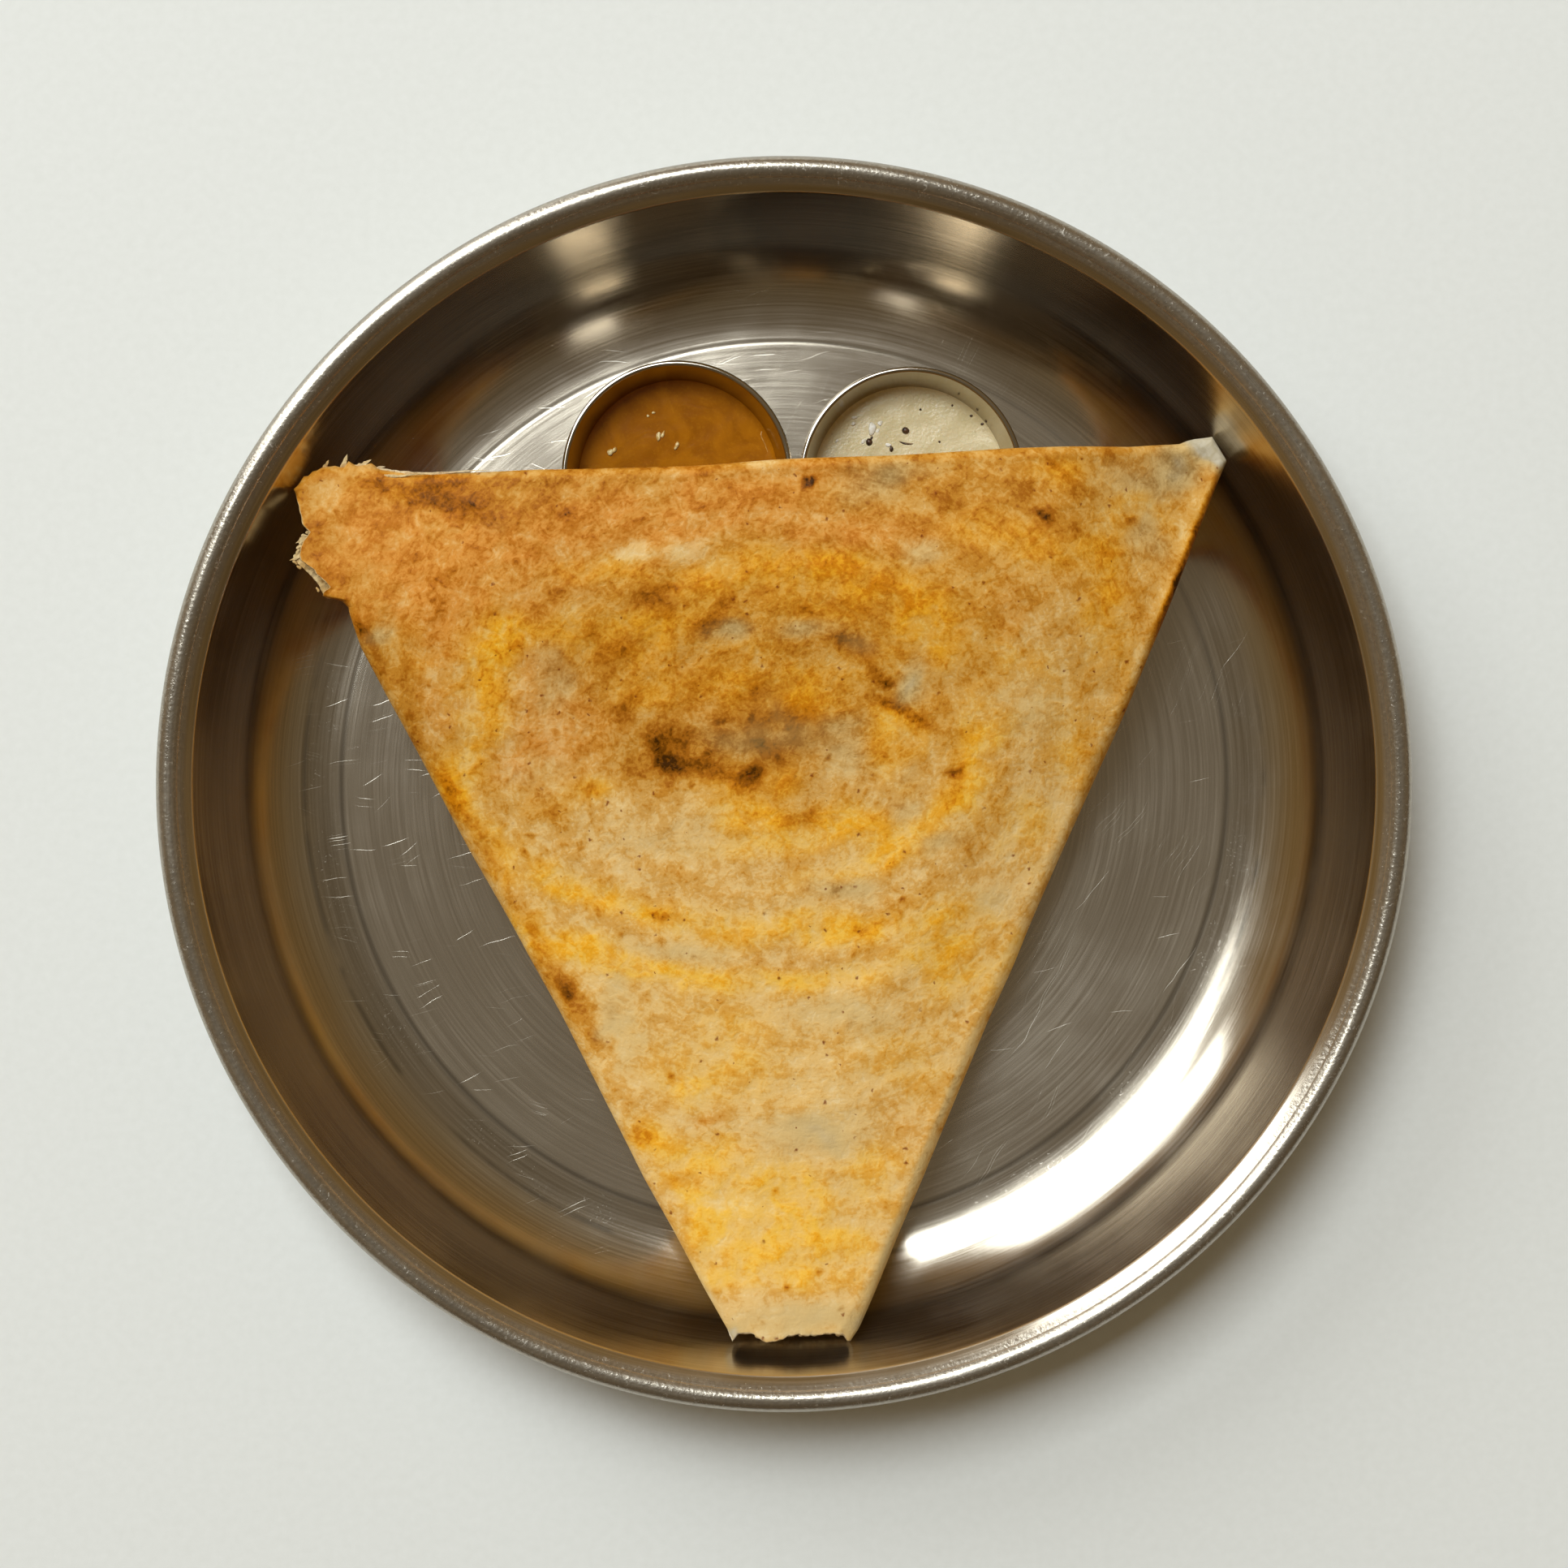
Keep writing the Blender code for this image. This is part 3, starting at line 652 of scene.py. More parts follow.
food_piece(
    "coconut_flecks", pebbles(on_food(chutney_centre, chutney_level, COCONUT_FLECKS), 9, 0.28, 0.3),
    plain_bit("coconut_fleck", tint(226, 216, 194), tint(246, 241, 230), 0.4), "chutney",
)
CURRY_SHRED = [(-2.6, 10.4), (-1.4, 9.9), (0.2, 9.7), (1.1, 9.8)]
food_piece(
    "curry_leaf_shred", [thread(on_top(chutney_centre, chutney_level, CURRY_SHRED), 0.00026)],
    plain_bit("curry_leaf", tint(60, 40, 22), tint(120, 92, 56), 0.4), "chutney",
)

# ---- Dosa ------------------------------------------------------------------------------------
# A crepe of fermented rice and lentil batter, spread in a spiral on an oiled griddle, browned in
# patches and folded twice into a triangle. Its tip and its left corner are torn open, and the pale
# soft side of the crepe shows there.

DOSA_STATIONS = np.array([  # y, height of the folds' middle, half height of a fold, top, underside
    (-0.137, 0.0220, 0.0040, 0.0260, 0.0180),
    (-0.110, 0.0184, 0.0044, 0.0235, 0.0110),
    (-0.075, 0.0150, 0.0046, 0.0226, 0.0036),
    (-0.035, 0.0138, 0.0046, 0.0226, 0.0013),
    (0.000, 0.0166, 0.0044, 0.0248, 0.0036),
    (0.022, 0.0224, 0.0036, 0.0278, 0.0124),
    (0.044, 0.0296, 0.0026, 0.0324, 0.0272),
    (0.086, 0.0299, 0.0026, 0.0326, 0.0273),
])
WEST = np.array([
    (-0.0129, -0.1368), (-0.0139, -0.1344), (-0.0347, -0.0972), (-0.0608, -0.0471), (-0.0780, -0.0168),
    (-0.0933, 0.0134), (-0.1037, 0.0334), (-0.1066, 0.0430), (-0.1082, 0.0446),
    (-0.1128, 0.0456), (-0.1145, 0.0495), (-0.1197, 0.0545), (-0.1184, 0.0592),
    (-0.1161, 0.0614), (-0.1175, 0.0633), (-0.1183, 0.0679), (-0.1200, 0.0722),
])
EAST = np.array([
    (0.0169, -0.1365), (0.0187, -0.1336), (0.0560, -0.0471), (0.0822, 0.0134), (0.1072, 0.0748),
    (0.1094, 0.0798), (0.1058, 0.0859),
])
NORTH = np.array([
    (-0.1200, 0.0722), (-0.1174, 0.0755), (-0.1125, 0.0781), (-0.1074, 0.0779),
    (-0.1062, 0.0796), (-0.1048, 0.0781), (-0.1008, 0.0786), (-0.0978, 0.0771),
    (-0.0900, 0.0757), (-0.0620, 0.0762), (-0.0230, 0.0773), (-0.0033, 0.0788),
    (0.0270, 0.0799), (0.0560, 0.0817), (0.0850, 0.0827), (0.0974, 0.0837),
    (0.1004, 0.0851), (0.1058, 0.0859),
])
SOUTH = np.array([
    (-0.0129, -0.1368), (-0.0115, -0.1344), (-0.0097, -0.1344),
    (-0.0073, -0.1350), (-0.0043, -0.1366), (-0.0003, -0.1358), (0.0011, -0.1347),
    (0.0057, -0.1350), (0.0125, -0.1344), (0.0133, -0.1350), (0.0147, -0.1344),
    (0.0159, -0.1367), (0.0169, -0.1365),
])
LEFT_DROOP = 0.0056
RIGHT_DROOP = 0.0121
BELLY_REACH = 0.034
TORN_FROM = 0.0450
CREPE = 0.0013
MOUTH_DEPTH = 0.027
SLOT_DEPTH = 0.010
TORN_BACK = 0.0023
SPREAD_CENTRE = (-0.001, 0.010)
SPREAD_PITCH = 0.011
ROWS_BELOW_TEAR, ROWS_ABOVE_TEAR, COLUMNS, FOLD_STEPS = 146, 66, 150, 8


def ease(value, low, high):
    """A value's smooth step from 0 at low to 1 at high."""
    t = np.clip((value - low) / (high - low), 0, 1)
    return t * t * (3 - 2 * t)


def station(column, y):
    """A station value at each y, on a smooth cubic curve through the stations."""
    ys, values = DOSA_STATIONS[:, 0], DOSA_STATIONS[:, column]
    slopes = np.gradient(values, ys)
    i = np.clip(np.searchsorted(ys, y) - 1, 0, len(ys) - 2)
    step = ys[i + 1] - ys[i]
    t = np.clip((y - ys[i]) / step, 0, 1)
    return (
        (1 + 2 * t) * (1 - t) ** 2 * values[i] + t * (1 - t) ** 2 * step * slopes[i]
        + t * t * (3 - 2 * t) * values[i + 1] + t * t * (t - 1) * step * slopes[i + 1]
    )


def run_at(run, share, axis):
    """The points of an outline run at shares of its way along an axis."""
    keys = (run[:, axis] - run[0, axis]) / (run[-1, axis] - run[0, axis])
    return np.stack((np.interp(share, keys, run[:, 0]), np.interp(share, keys, run[:, 1])), axis=-1)


def plan(u, s):
    """Plan positions at shares u across and s along.

    The two side runs blended across, plus how far each end run strays from the straight line
    between its ends. The straying is let in over the last tenth of the way to that end.
    """
    left, right = run_at(WEST, s, 1), run_at(EAST, s, 1)
    low, high = run_at(SOUTH, u, 0), run_at(NORTH, u, 0)
    u, s = u[..., None], s[..., None]
    low = low - (1 - u) * WEST[0] - u * EAST[0]
    high = high - (1 - u) * WEST[-1] - u * EAST[-1]
    return (1 - u) * left + u * right + ease(s, 0.10, 0) * low + ease(s, 0.90, 1) * high


def droop(x, y):
    """How far the two top corners, past the bowls, hang lower than the fold between them."""
    left = LEFT_DROOP * ease(-x, 0.054, 0.114)
    right = RIGHT_DROOP * ease(x, 0.062, 0.106)
    return (left + right) * ease(y, 0.015, 0.070)


def torn_open(y):
    """How far the left corner's layers stand apart, from 0 to 1 and back to 0 along its edge."""
    return ease(y, TORN_FROM, TORN_FROM + 0.003) * ease(y, 0.0712, 0.0665)


def spread_ridges(x, y):
    """The ladle's spiral track: a cosine of the radius plus one pitch a turn, from -1 to 1."""
    east, north = x - SPREAD_CENTRE[0], y - SPREAD_CENTRE[1]
    bend = 0.006 * (lumps(x, y, 0.026, 31) - 0.5)
    a_turn = SPREAD_PITCH * np.arctan2(north, east) / (2 * math.pi)
    along_spiral = np.hypot(east, 1.25 * north) + bend + a_turn
    return np.cos(2 * math.pi * along_spiral / SPREAD_PITCH)


def crepe_relief(x, y):
    """Height of the crepe's unevenness: slow waves, the spiral track, dimples and fine grain."""
    slow = 0.0006 * (lumps(x, y, 0.030, 32) - 1.03) + 0.0004 * (lumps(x, y, 0.012, 33) - 0.5)
    track = 0.00010 * spread_ridges(x, y) * lumps(x, y, 0.024, 34)
    fine = 0.00030 * (lumps(x, y, 0.005, 35) - 0.5) + 0.00016 * (lumps(x, y, 0.0024, 36) - 0.5)
    return slow + track + fine


def crepe_skins():
    """Grids of the dosa's upper and lower skins, the shares u, and how open each row is.

    Folds are rounded: half a fold's height times the root of one less the square of one less the
    distance in from the fold over its half height. Between the folds a belly rises smoothly to
    the station's top, and sinks to its underside. At the torn mouth the skins don't meet, and at
    the torn corner they part as torn_open says. The edges wander by broad lumps, and fine lumps
    rip the torn ones. The upper layer is torn back further than the lower one.
    """
    fan = 1 - np.cos(math.pi / 2 * np.arange(FOLD_STEPS) / FOLD_STEPS)
    length = WEST[-1, 1] - WEST[0, 1]
    corner = (TORN_FROM - 0.002 - WEST[0, 1]) / length
    north = DOSA_STATIONS[-1, 2]
    s = np.concatenate((
        np.linspace(0, corner, ROWS_BELOW_TEAR, endpoint=False),
        np.linspace(corner, 1 - north / length, ROWS_ABOVE_TEAR), 1 - north / length * fan[::-1],
    ))[:, None]
    across = np.linalg.norm(plan(1 + 0 * s, s) - plan(0 * s, s), axis=-1)
    fold = station(2, WEST[0, 1] + s * length)
    steps = np.linspace(0, 1, COLUMNS)[None, :]
    steps = 0.72 * steps + 0.28 * steps ** 2
    edge = fold / across
    u = np.hstack((edge * fan, edge + (1 - 2 * edge) * steps, 1 - edge * fan[::-1]))
    s = s + 0 * u
    place = plan(u, s)
    x, y = place[..., 0], place[..., 1]
    west, east, south, north_in = u * across, (1 - u) * across, s * length, (1 - s) * length
    middle, fold, top, under = (station(column, y) for column in (1, 2, 3, 4))
    opened = torn_open(WEST[0, 1] + s * length)
    rounding = np.minimum(opened + (1 - opened) * np.minimum(west / fold, 1), np.minimum(east / fold, 1))
    rounding = np.minimum(rounding, np.minimum(north_in / north, 1))
    half = fold * np.sqrt(1 - (1 - rounding) ** 2)
    in_from_fold = np.minimum(np.minimum(west, east), north_in)
    full = ease(in_from_fold, 0, np.minimum(BELLY_REACH, 0.45 * across))
    sag = droop(x, y)
    upper = middle + half + full * (top - middle - fold) - sag
    lower = middle - half - full * (middle - fold - under) - sag
    torn_side = ease(y, TORN_FROM - 0.004, TORN_FROM + 0.001)
    settled = ease(np.minimum(east, north_in), 0, 0.005) * ease(west + 0.003 * torn_side, 0, 0.005)
    upper = upper + crepe_relief(x, y) * settled
    wobble = 0.0005 * (lumps(y, 0 * y, 0.013, 37) - 0.5)
    x = x + wobble * ease(west, 0.010, 0) - wobble * ease(east, 0.010, 0)
    y = y + 0.0004 * (lumps(x, 0 * x, 0.011, 38) - 0.5) * ease(north_in, 0.008, 0)
    rip = 0.0014 * lumps(y, 0 * y, 0.0014, 39) * lumps(y, 0 * y, 0.006, 40)
    x = x + rip * torn_side * ease(west, 0.004, 0)
    rip = 0.0014 * lumps(x, 0 * x, 0.0008, 41) * lumps(x, 0 * x, 0.003, 42)
    y = y + rip * ease(south, 0.004, 0)
    rip = 0.0008 * lumps(x, 0 * x, 0.0010, 43) ** 2
    y = y - rip * ease(x, -0.096, -0.099) * ease(north_in, 0.004, 0)
    back = TORN_BACK * (0.4 + lumps(y, 0 * y, 0.0035, 45) + 0.6 * lumps(y, 0 * y, 0.0011, 46))
    back = back * ease(y, 0.0445, 0.0480) * ease(y, 0.0630, 0.0585) * (1 - 0.55 * ease(y, 0.0535, 0.0560))
    torn_x = x + back * opened * ease(west, 0.007, 0)
    return np.stack((torn_x, y, upper), axis=-1), np.stack((x, y, lower), axis=-1), u, opened[:, 0]


def torn_lip(outer, inner, outward):
    """Grid rows of a torn edge: half a turn from the outer to the inner face, roughened."""
    turn = np.linspace(0, math.pi, 7)[1:-1, None, None]
    middle, reach = (outer + inner) / 2, (outer - inner) / 2
    bulge = np.linalg.norm(reach, axis=-1)[..., None]
    rough = 0.3 + 0.5 * lumps(outer[:, 0] + 7 * turn[..., 0] / 1000, outer[:, 1], 0.0011, 44)[..., None]
    return middle + reach * np.cos(turn) + np.array(outward) * bulge * np.sin(turn) * rough


def pocket(upper, lower, inner_upper, inner_lower, outward):
    """Grid of an open end: over the upper lip, in along the upper layer and back on the lower."""
    return np.concatenate((
        upper[None], torn_lip(upper, inner_upper[0], outward), inner_upper,
        inner_lower[::-1][1:], torn_lip(lower, inner_lower[0], outward)[::-1], lower[None],
    ))


def mouth(upper, lower, u):
    """The hollow of the open tip. It keeps one crepe's thickness inside the folds.

    Its half height at each side follows the fold's round, and closes inwards as an ellipse.
    """
    length = WEST[-1, 1] - WEST[0, 1]
    depth = np.linspace(0, 1, 16)[:, None]
    s = depth * MOUTH_DEPTH / length + 0 * u
    across = np.linalg.norm(plan(1 + 0 * s, s) - plan(0 * s, s), axis=-1)
    inner_u = CREPE / across + u * (1 - 2 * CREPE / across)
    place = plan(inner_u, s)
    x, y = place[..., 0], place[..., 1] + (upper[:, 1] - plan(u, 0 * u)[:, 1]) * (1 - depth)
    inner = station(2, y) - CREPE
    side = np.minimum(np.minimum(u, 1 - u) * (across - 2 * CREPE) / inner, 1)
    half = inner * np.sqrt(1 - (1 - side) ** 2) * np.sqrt(1 - depth ** 2)
    middle = station(1, y)
    high, low = np.stack((x, y, middle + half), axis=-1), np.stack((x, y, middle - half), axis=-1)
    return pocket(upper, lower, high, low, (0, -1, 0))


def corner_slot(upper, lower, opened):
    """The gap between the layers at the torn corner, as deep and high as the edge is open there."""
    depth = np.linspace(0, 1, 13)[:, None]
    deepest = upper[:, 0] + SLOT_DEPTH * opened
    high_x = upper[:, 0] + depth * (deepest - upper[:, 0])
    low_x = lower[:, 0] + depth * (deepest - lower[:, 0])
    y = upper[:, 1] + 0 * depth
    half = (upper[:, 2] - lower[:, 2]) / 2
    inner = half * (1 - 0.42 * opened) * np.sqrt(1 - depth ** 2)
    middle = (upper[:, 2] + lower[:, 2]) / 2 + droop(lower[:, 0], lower[:, 1])
    high = np.stack((high_x, y, middle - droop(high_x, y) + inner), axis=-1)
    low = np.stack((low_x, y, middle - droop(low_x, y) - inner), axis=-1)
    return pocket(upper, lower, high, low, (-1, 0, 0))


GROUND_BROWN = [  # y, and how brown the crepe is there before the patches
    (-0.135, 0.33), (-0.10, 0.35), (-0.06, 0.355), (-0.03, 0.385), (0.0, 0.425), (0.03, 0.55),
    (0.08, 0.555),
]
# Where the griddle browned the crepe more or less, as it lies folded: x, y, half length, half
# width (mm), turn (degrees), and how much browner (+) or paler (-) it is there.
BROWNING = [
    # charred spots where the batter lay thinnest, with their brown surrounds
    (-27.0, 4.8, 6.5, 2.4, -25, 0.22), (-23.6, 10.6, 2.8, 3.4, 0, 0.16),
    (-32.5, 11.4, 4.6, 2.6, -5, 0.12), (-27.5, 7.0, 11, 8.0, 0, 0.22), (-16.5, 3.0, 6.5, 2.6, -8, 0.20),
    (-22, 5, 15, 8, -6, 0.12), (-24.0, 3.4, 5.0, 2.0, -25, 0.10), (-7.5, 2.0, 3.2, 2.6, 10, 0.24),
    (-8.0, 2.2, 8, 4, 5, 0.14), (-26.2, -3.0, 1.6, 2.8, 0, 0.16), (-28.1, 0.0, 0.9, 0.8, 0, 0.24),
    (-22.6, -0.2, 0.9, 0.8, 0, 0.24), (-18.8, 7.5, 0.9, 0.8, 0, 0.22), (6.1, 73.0, 1.7, 1.6, 0, 0.60),
    (41.0, 2.6, 2.5, 1.3, 5, 0.38),
    # the broken brown line to the right of the middle
    (22.6, 26.6, 3.2, 1.4, -50, 0.30), (25.5, 24.3, 2.2, 1.1, 20, 0.30),
    (23.5, 19.8, 3.2, 1.5, -28, 0.30), (29.0, 17.5, 4.0, 1.3, -40, 0.30),
    (34.5, 14.6, 3.2, 2.0, -30, 0.32), (34.0, 18.5, 2.2, 1.3, 75, 0.18),
    # streaks above the middle
    (-34, 45, 4.6, 2.6, 25, 0.22), (-28, 47.8, 3.4, 1.5, 8, 0.18), (-28, 44.3, 2.0, 1.2, 0, 0.14),
    (-15, 43, 5.6, 1.8, 50, 0.20), (-6, 46.5, 4.0, 1.6, 10, 0.20), (-17, 39, 4.2, 1.0, 5, 0.18),
    (5, 42, 4.4, 1.4, -10, 0.16), (14, 35.6, 3.2, 1.4, -20, 0.18), (19, 33, 5.5, 2.6, -20, 0.10),
    (-19, 36.3, 1.3, 0.9, 0, 0.20), (-8.5, 37.7, 1.1, 0.9, 0, 0.20), (4, 32.3, 2.2, 1.0, 0, 0.14),
    # the broad toasted ground left of the middle
    (-45, 27, 7, 7, 0, 0.09), (-36, 32.5, 12, 3.2, -8, 0.10), (-46, 36, 6, 4, 0, 0.06),
    (-42, 17, 5, 5, 30, 0.16), (-47, 9, 3, 3, 0, 0.12), (-45, 4.2, 1.8, 0.9, -50, 0.22),
    (-20, 20, 15, 6, 0, 0.09), (0, 18, 12, 7, 0, 0.14), (-26, 28, 3, 2, 0, 0.06),
    (66, 28, 24, 24, -20, -0.09), (3, 6, 10, 5, 0, 0.08), (86, 68, 16, 10, -10, -0.12),
    (-74, 30, 15, 16, 0, -0.07), (-28, 33, 18, 6, 0, -0.05), (62, -14, 12, 9, 0, -0.07),
    (14, -80, 18, 8, 0, -0.07), (2, -31, 11, 5, 0, -0.05),
    # short dark curls on the thin ground under the middle
    (-6, 13, 14, 5, -5, 0.10), (-8, 16.2, 1.6, 0.9, 60, 0.24), (-3, 16.6, 1.4, 0.7, 0, 0.20),
    (-15.5, 15.2, 1.7, 0.9, 0, 0.22), (-6.3, 10.1, 2.8, 1.1, -10, 0.28), (-9.3, 8.3, 1.1, 1.0, 0, 0.28),
    (1.5, 13.4, 1.4, 0.7, 0, 0.20), (3.5, 15.8, 2.0, 0.7, 0, 0.16), (10.7, 6.3, 0.9, 0.8, 0, 0.40),
    (14.6, -0.7, 1.1, 0.8, -20, 0.30), (-2, 8, 5, 2, 0, 0.06),
    # the upper left, toasted in curls along the fold
    (-74, 66.8, 8.5, 4.2, -12, 0.10), (-82, 70, 14, 4.5, -10, 0.09), (-69, 68, 7, 4, 0, 0.10),
    (-84, 69.4, 6, 2.2, -18, 0.09), (-95, 72.2, 10, 2.8, 3, 0.15), (-78, 73, 4.5, 2.0, 0, 0.18),
    (-64, 73.4, 10, 2.0, -4, 0.10), (-71, 63.6, 4, 1.4, -10, 0.16), (-54, 65.3, 3.4, 1.4, 0, 0.15),
    (-60, 69, 7, 4, 0, 0.06), (-82, 51, 3.2, 1.0, 30, 0.18), (-54, 51.4, 1.8, 1.0, 20, 0.16),
    (-58, 45, 5, 1.3, 10, 0.10), (-114, 56, 3.4, 2.6, 0, 0.16), (-111, 51, 4.5, 2.0, -20, 0.13),
    (-114, 63, 3.2, 1.2, -40, 0.14), (-97, 60, 6, 3, 0, 0.06), (-90, 55, 3, 1.6, 20, 0.06),
    (-85.6, 48.2, 1.2, 1.0, 0, 0.12), (-82.5, 32.5, 1.5, 1.0, 0, 0.14), (-66, 19, 1.6, 1.2, 0, 0.16),
    # a thin darker line along the top fold's edge: painted shade on the fold's shadowed side
    (-35, 77.6, 30, 0.9, 2, 0.12),
    # the folded edges, pressed to the hot griddle; along the left fold the band is partly painted shade on
    # the fold's slope
    (-98.5, 27.5, 4.5, 1.8, -63, 0.22), (-103, 38.5, 7, 1.3, -62, 0.26), (-88, 10, 19, 3.0, -63, 0.17),
    (-80, -5, 9, 2.6, -60, 0.16), (-73, -17, 5, 3.0, -60, 0.20), (-62, -36.5, 5, 2.4, -62, 0.22),
    (-67, -27, 8, 2.2, -62, 0.12), (-56.0, -47, 9, 4.0, -62, 0.30), (-49, -59, 9, 3.6, -62, 0.26),
    (-40, -78, 8, 1.8, -62, 0.12), (-34, -85.5, 3.6, 3.2, 0, 0.24), (-27, -97.5, 1.8, 1.1, 0, 0.18),
    (-24, -105.5, 2.4, 1.4, -60, 0.16), (100.3, 60, 17, 1.2, 67.8, 0.34), (93.6, 44, 9, 1.2, 67.8, 0.30),
    (86, 24, 16, 1.6, 66, 0.10), (75, -1, 12, 1.2, 66, 0.12),
    # orange spots in the golden rings
    (-29, -32.5, 3.4, 1.4, -10, 0.28), (-19, -83, 3.0, 0.9, 15, 0.28),
    (-16.5, -85.6, 2.2, 0.7, -30, 0.16), (23, -34.2, 4.8, 1.3, 12, 0.20),
    (18.5, -36.3, 2.4, 1.2, 10, 0.26), (3, -8.5, 6.5, 1.8, -12, 0.20), (8, -6.0, 3.4, 1.4, 0, 0.12),
    (-8, -7.8, 3.0, 1.2, 0, 0.12), (-46, -1.2, 3.6, 2.2, -15, 0.20), (26, 7, 3.6, 1.8, 0, 0.12),
    (70, 6, 4, 6, -20, 0.10), (41, -4.6, 2.0, 0.9, 30, 0.18), (37, -42, 9, 2.8, 6, 0.10),
    (36, -27, 2, 4, -30, 0.08), (-56, -7, 3.4, 1.8, 0, 0.16), (-43, -6, 2, 2, 0, 0.10),
    (45, -16, 5, 3, 0, 0.06),
    # the right, toasted lightly
    (62.5, 65.2, 2.8, 0.9, -38, 0.30), (58, 70.5, 4.0, 2.0, 60, 0.16), (84, 64.5, 2.0, 0.9, -50, 0.22),
    (72, 64, 8, 3, 0, 0.06), (79, 47, 5, 6, -20, 0.10), (60, 43, 1.6, 1.0, 0, 0.14),
    (44, 74, 5, 3, 0, 0.08), (44.5, 26, 2.4, 3.4, 0, 0.12), (30, 74, 8, 3, 0, 0.06),
    (44, 41, 1.8, 1.4, 0, 0.12), (16, 53, 3, 1.6, -40, 0.10), (30, 44, 10, 6, 0, 0.04),
    # pores of good size
    (-62, -13, 1.3, 1.1, 0, 0.34), (-50, -15, 1.1, 1.1, 0, 0.30), (-64, -17, 0.9, 0.8, 0, 0.28),
    (-34, -52.5, 1.1, 1.1, 0, 0.30), (-46.5, -54.7, 1.0, 0.9, 0, 0.28), (-22.3, -42.3, 0.9, 0.8, 0, 0.34),
    (-30, -38.6, 0.9, 0.8, 0, 0.28), (-45.8, -31.5, 0.9, 0.8, 0, 0.30), (12.5, -26, 0.9, 0.8, 0, 0.40),
    (29, -28.5, 0.9, 0.8, 0, 0.36), (-27.6, -72.4, 1.3, 1.0, -30, 0.34), (-2, -99.6, 0.8, 0.7, 0, 0.34),
    (8.6, -119.7, 0.9, 0.8, 0, 0.38), (0.6, -123.4, 0.9, 0.8, 0, 0.38), (14, -128.6, 1.0, 0.7, 20, 0.34),
    (-4.5, -127, 1.0, 0.6, -20, 0.30), (42.5, -57, 0.8, 0.7, 0, 0.28), (20, -85, 0.8, 0.7, 0, 0.24),
    (-40, -37.5, 0.8, 0.7, 0, 0.24), (9, -28, 0.8, 0.6, 0, 0.22), (-5.7, -131.5, 0.9, 0.8, 0, 0.26),
    # pale places, where the crepe was lifted clear or is thick
    (-23.5, 57.4, 6.0, 3.0, 6, -0.36), (-38.0, 55.4, 5.2, 2.2, 8, -0.27), (-31, 56.5, 13, 3.5, 6, -0.10),
    (-5.5, 78.0, 4.8, 1.6, 5, -0.26), (-41.5, 63.3, 1.8, 1.5, 0, -0.20), (-26.5, 75, 2.2, 1.0, 0, -0.20),
    (-30, -12, 24, 8, 0, -0.08), (13, 4, 9, 6, -10, -0.10), (50.5, -28.5, 5.5, 5.5, 0, -0.16),
    (-43.5, -55, 5.5, 9, -25, -0.12), (15, -57, 13, 4, 0, -0.05), (8, -86, 14, 5.5, 0, -0.06),
    (24, -44, 7, 4, 0, -0.06), (-12, -102, 9, 6, 0, -0.14), (0.7, -130, 22, 4, 0, -0.12),
    # (-53, -52) is no pale place: it browns the left fold's slope, partly toasting and partly painted shade
    (1, -134.8, 20, 1.2, 0, -0.25), (-53, -52, 4.5, 2.5, -62, 0.26), (-35, 35, 3.0, 2.5, 0, 0.07),
    (-12, 44, 3.0, 2.5, 0, 0.08), (28.5, 21, 4, 3, 0, 0.07), (-30, 12, 3.2, 2.6, 0, -0.10),
    (8.5, -84, 8, 3.5, 0, -0.09), (52, -28.5, 5, 5, 0, -0.09), (-37, -18.5, 6, 4, 0, -0.07),
    (18.6, -117.5, 4, 5, 0, 0.05),
    # where it is a little paler or browner over a wide area
    (-100, 66, 8, 6, 0, 0.07), (-80, 66, 9, 5, 0, 0.08), (60, 66, 11, 6, 0, 0.09),
    (40, 66, 8, 6, 0, 0.05), (20, 48, 12, 5, 0, 0.06), (10, 33, 14, 5, 0, 0.05), (40, 34, 8, 6, 0, -0.07),
    (60, 34, 10, 8, 0, -0.08), (20, 18, 8, 6, 0, 0.06), (-80, 18, 7, 9, 70, -0.06),
    (-60, 18, 8, 9, 0, -0.05), (0, 2, 8, 5, 0, 0.07), (40, 2, 7, 6, 0, 0.04), (60, -6, 9, 13, -20, -0.06),
    (-40, -16, 9, 7, 0, -0.06), (-20, -16, 9, 6, 0, -0.06), (0, -14, 8, 4, 0, 0.03),
    (0, -30, 11, 5, 0, -0.08), (6, -52, 16, 12, 0, -0.06), (8, -74, 20, 9, 0, -0.07),
    (18, -110, 6, 12, 0, -0.06), (-60, 34, 8, 8, 0, -0.04), (-36, -66, 5, 8, -25, -0.10),
    (-26, -41, 14, 2.6, -8, -0.08), (-109, 69, 6, 3.6, -10, -0.16), (-104, 58, 5, 3, 0, -0.08),
    (-85, 60, 9, 5, 0, -0.06), (-97, 43, 2.4, 1.2, 0, -0.16), (-86, 27, 2.0, 1.4, 0, -0.20),
    (-90, 47, 9, 6, 0, -0.06), (58, 19, 8, 9, 0, -0.08), (34, 56, 6, 4, 0, -0.08),
    (98.5, 62, 15, 1.6, 67, -0.12), (89, 36, 14, 2.0, 66, -0.12), (-31, -111, 24, 1.0, -61, -0.22),
    (-20, -126, 9, 2.2, -61, -0.16), (-70, 57, 5, 1.6, 0, -0.12),
]
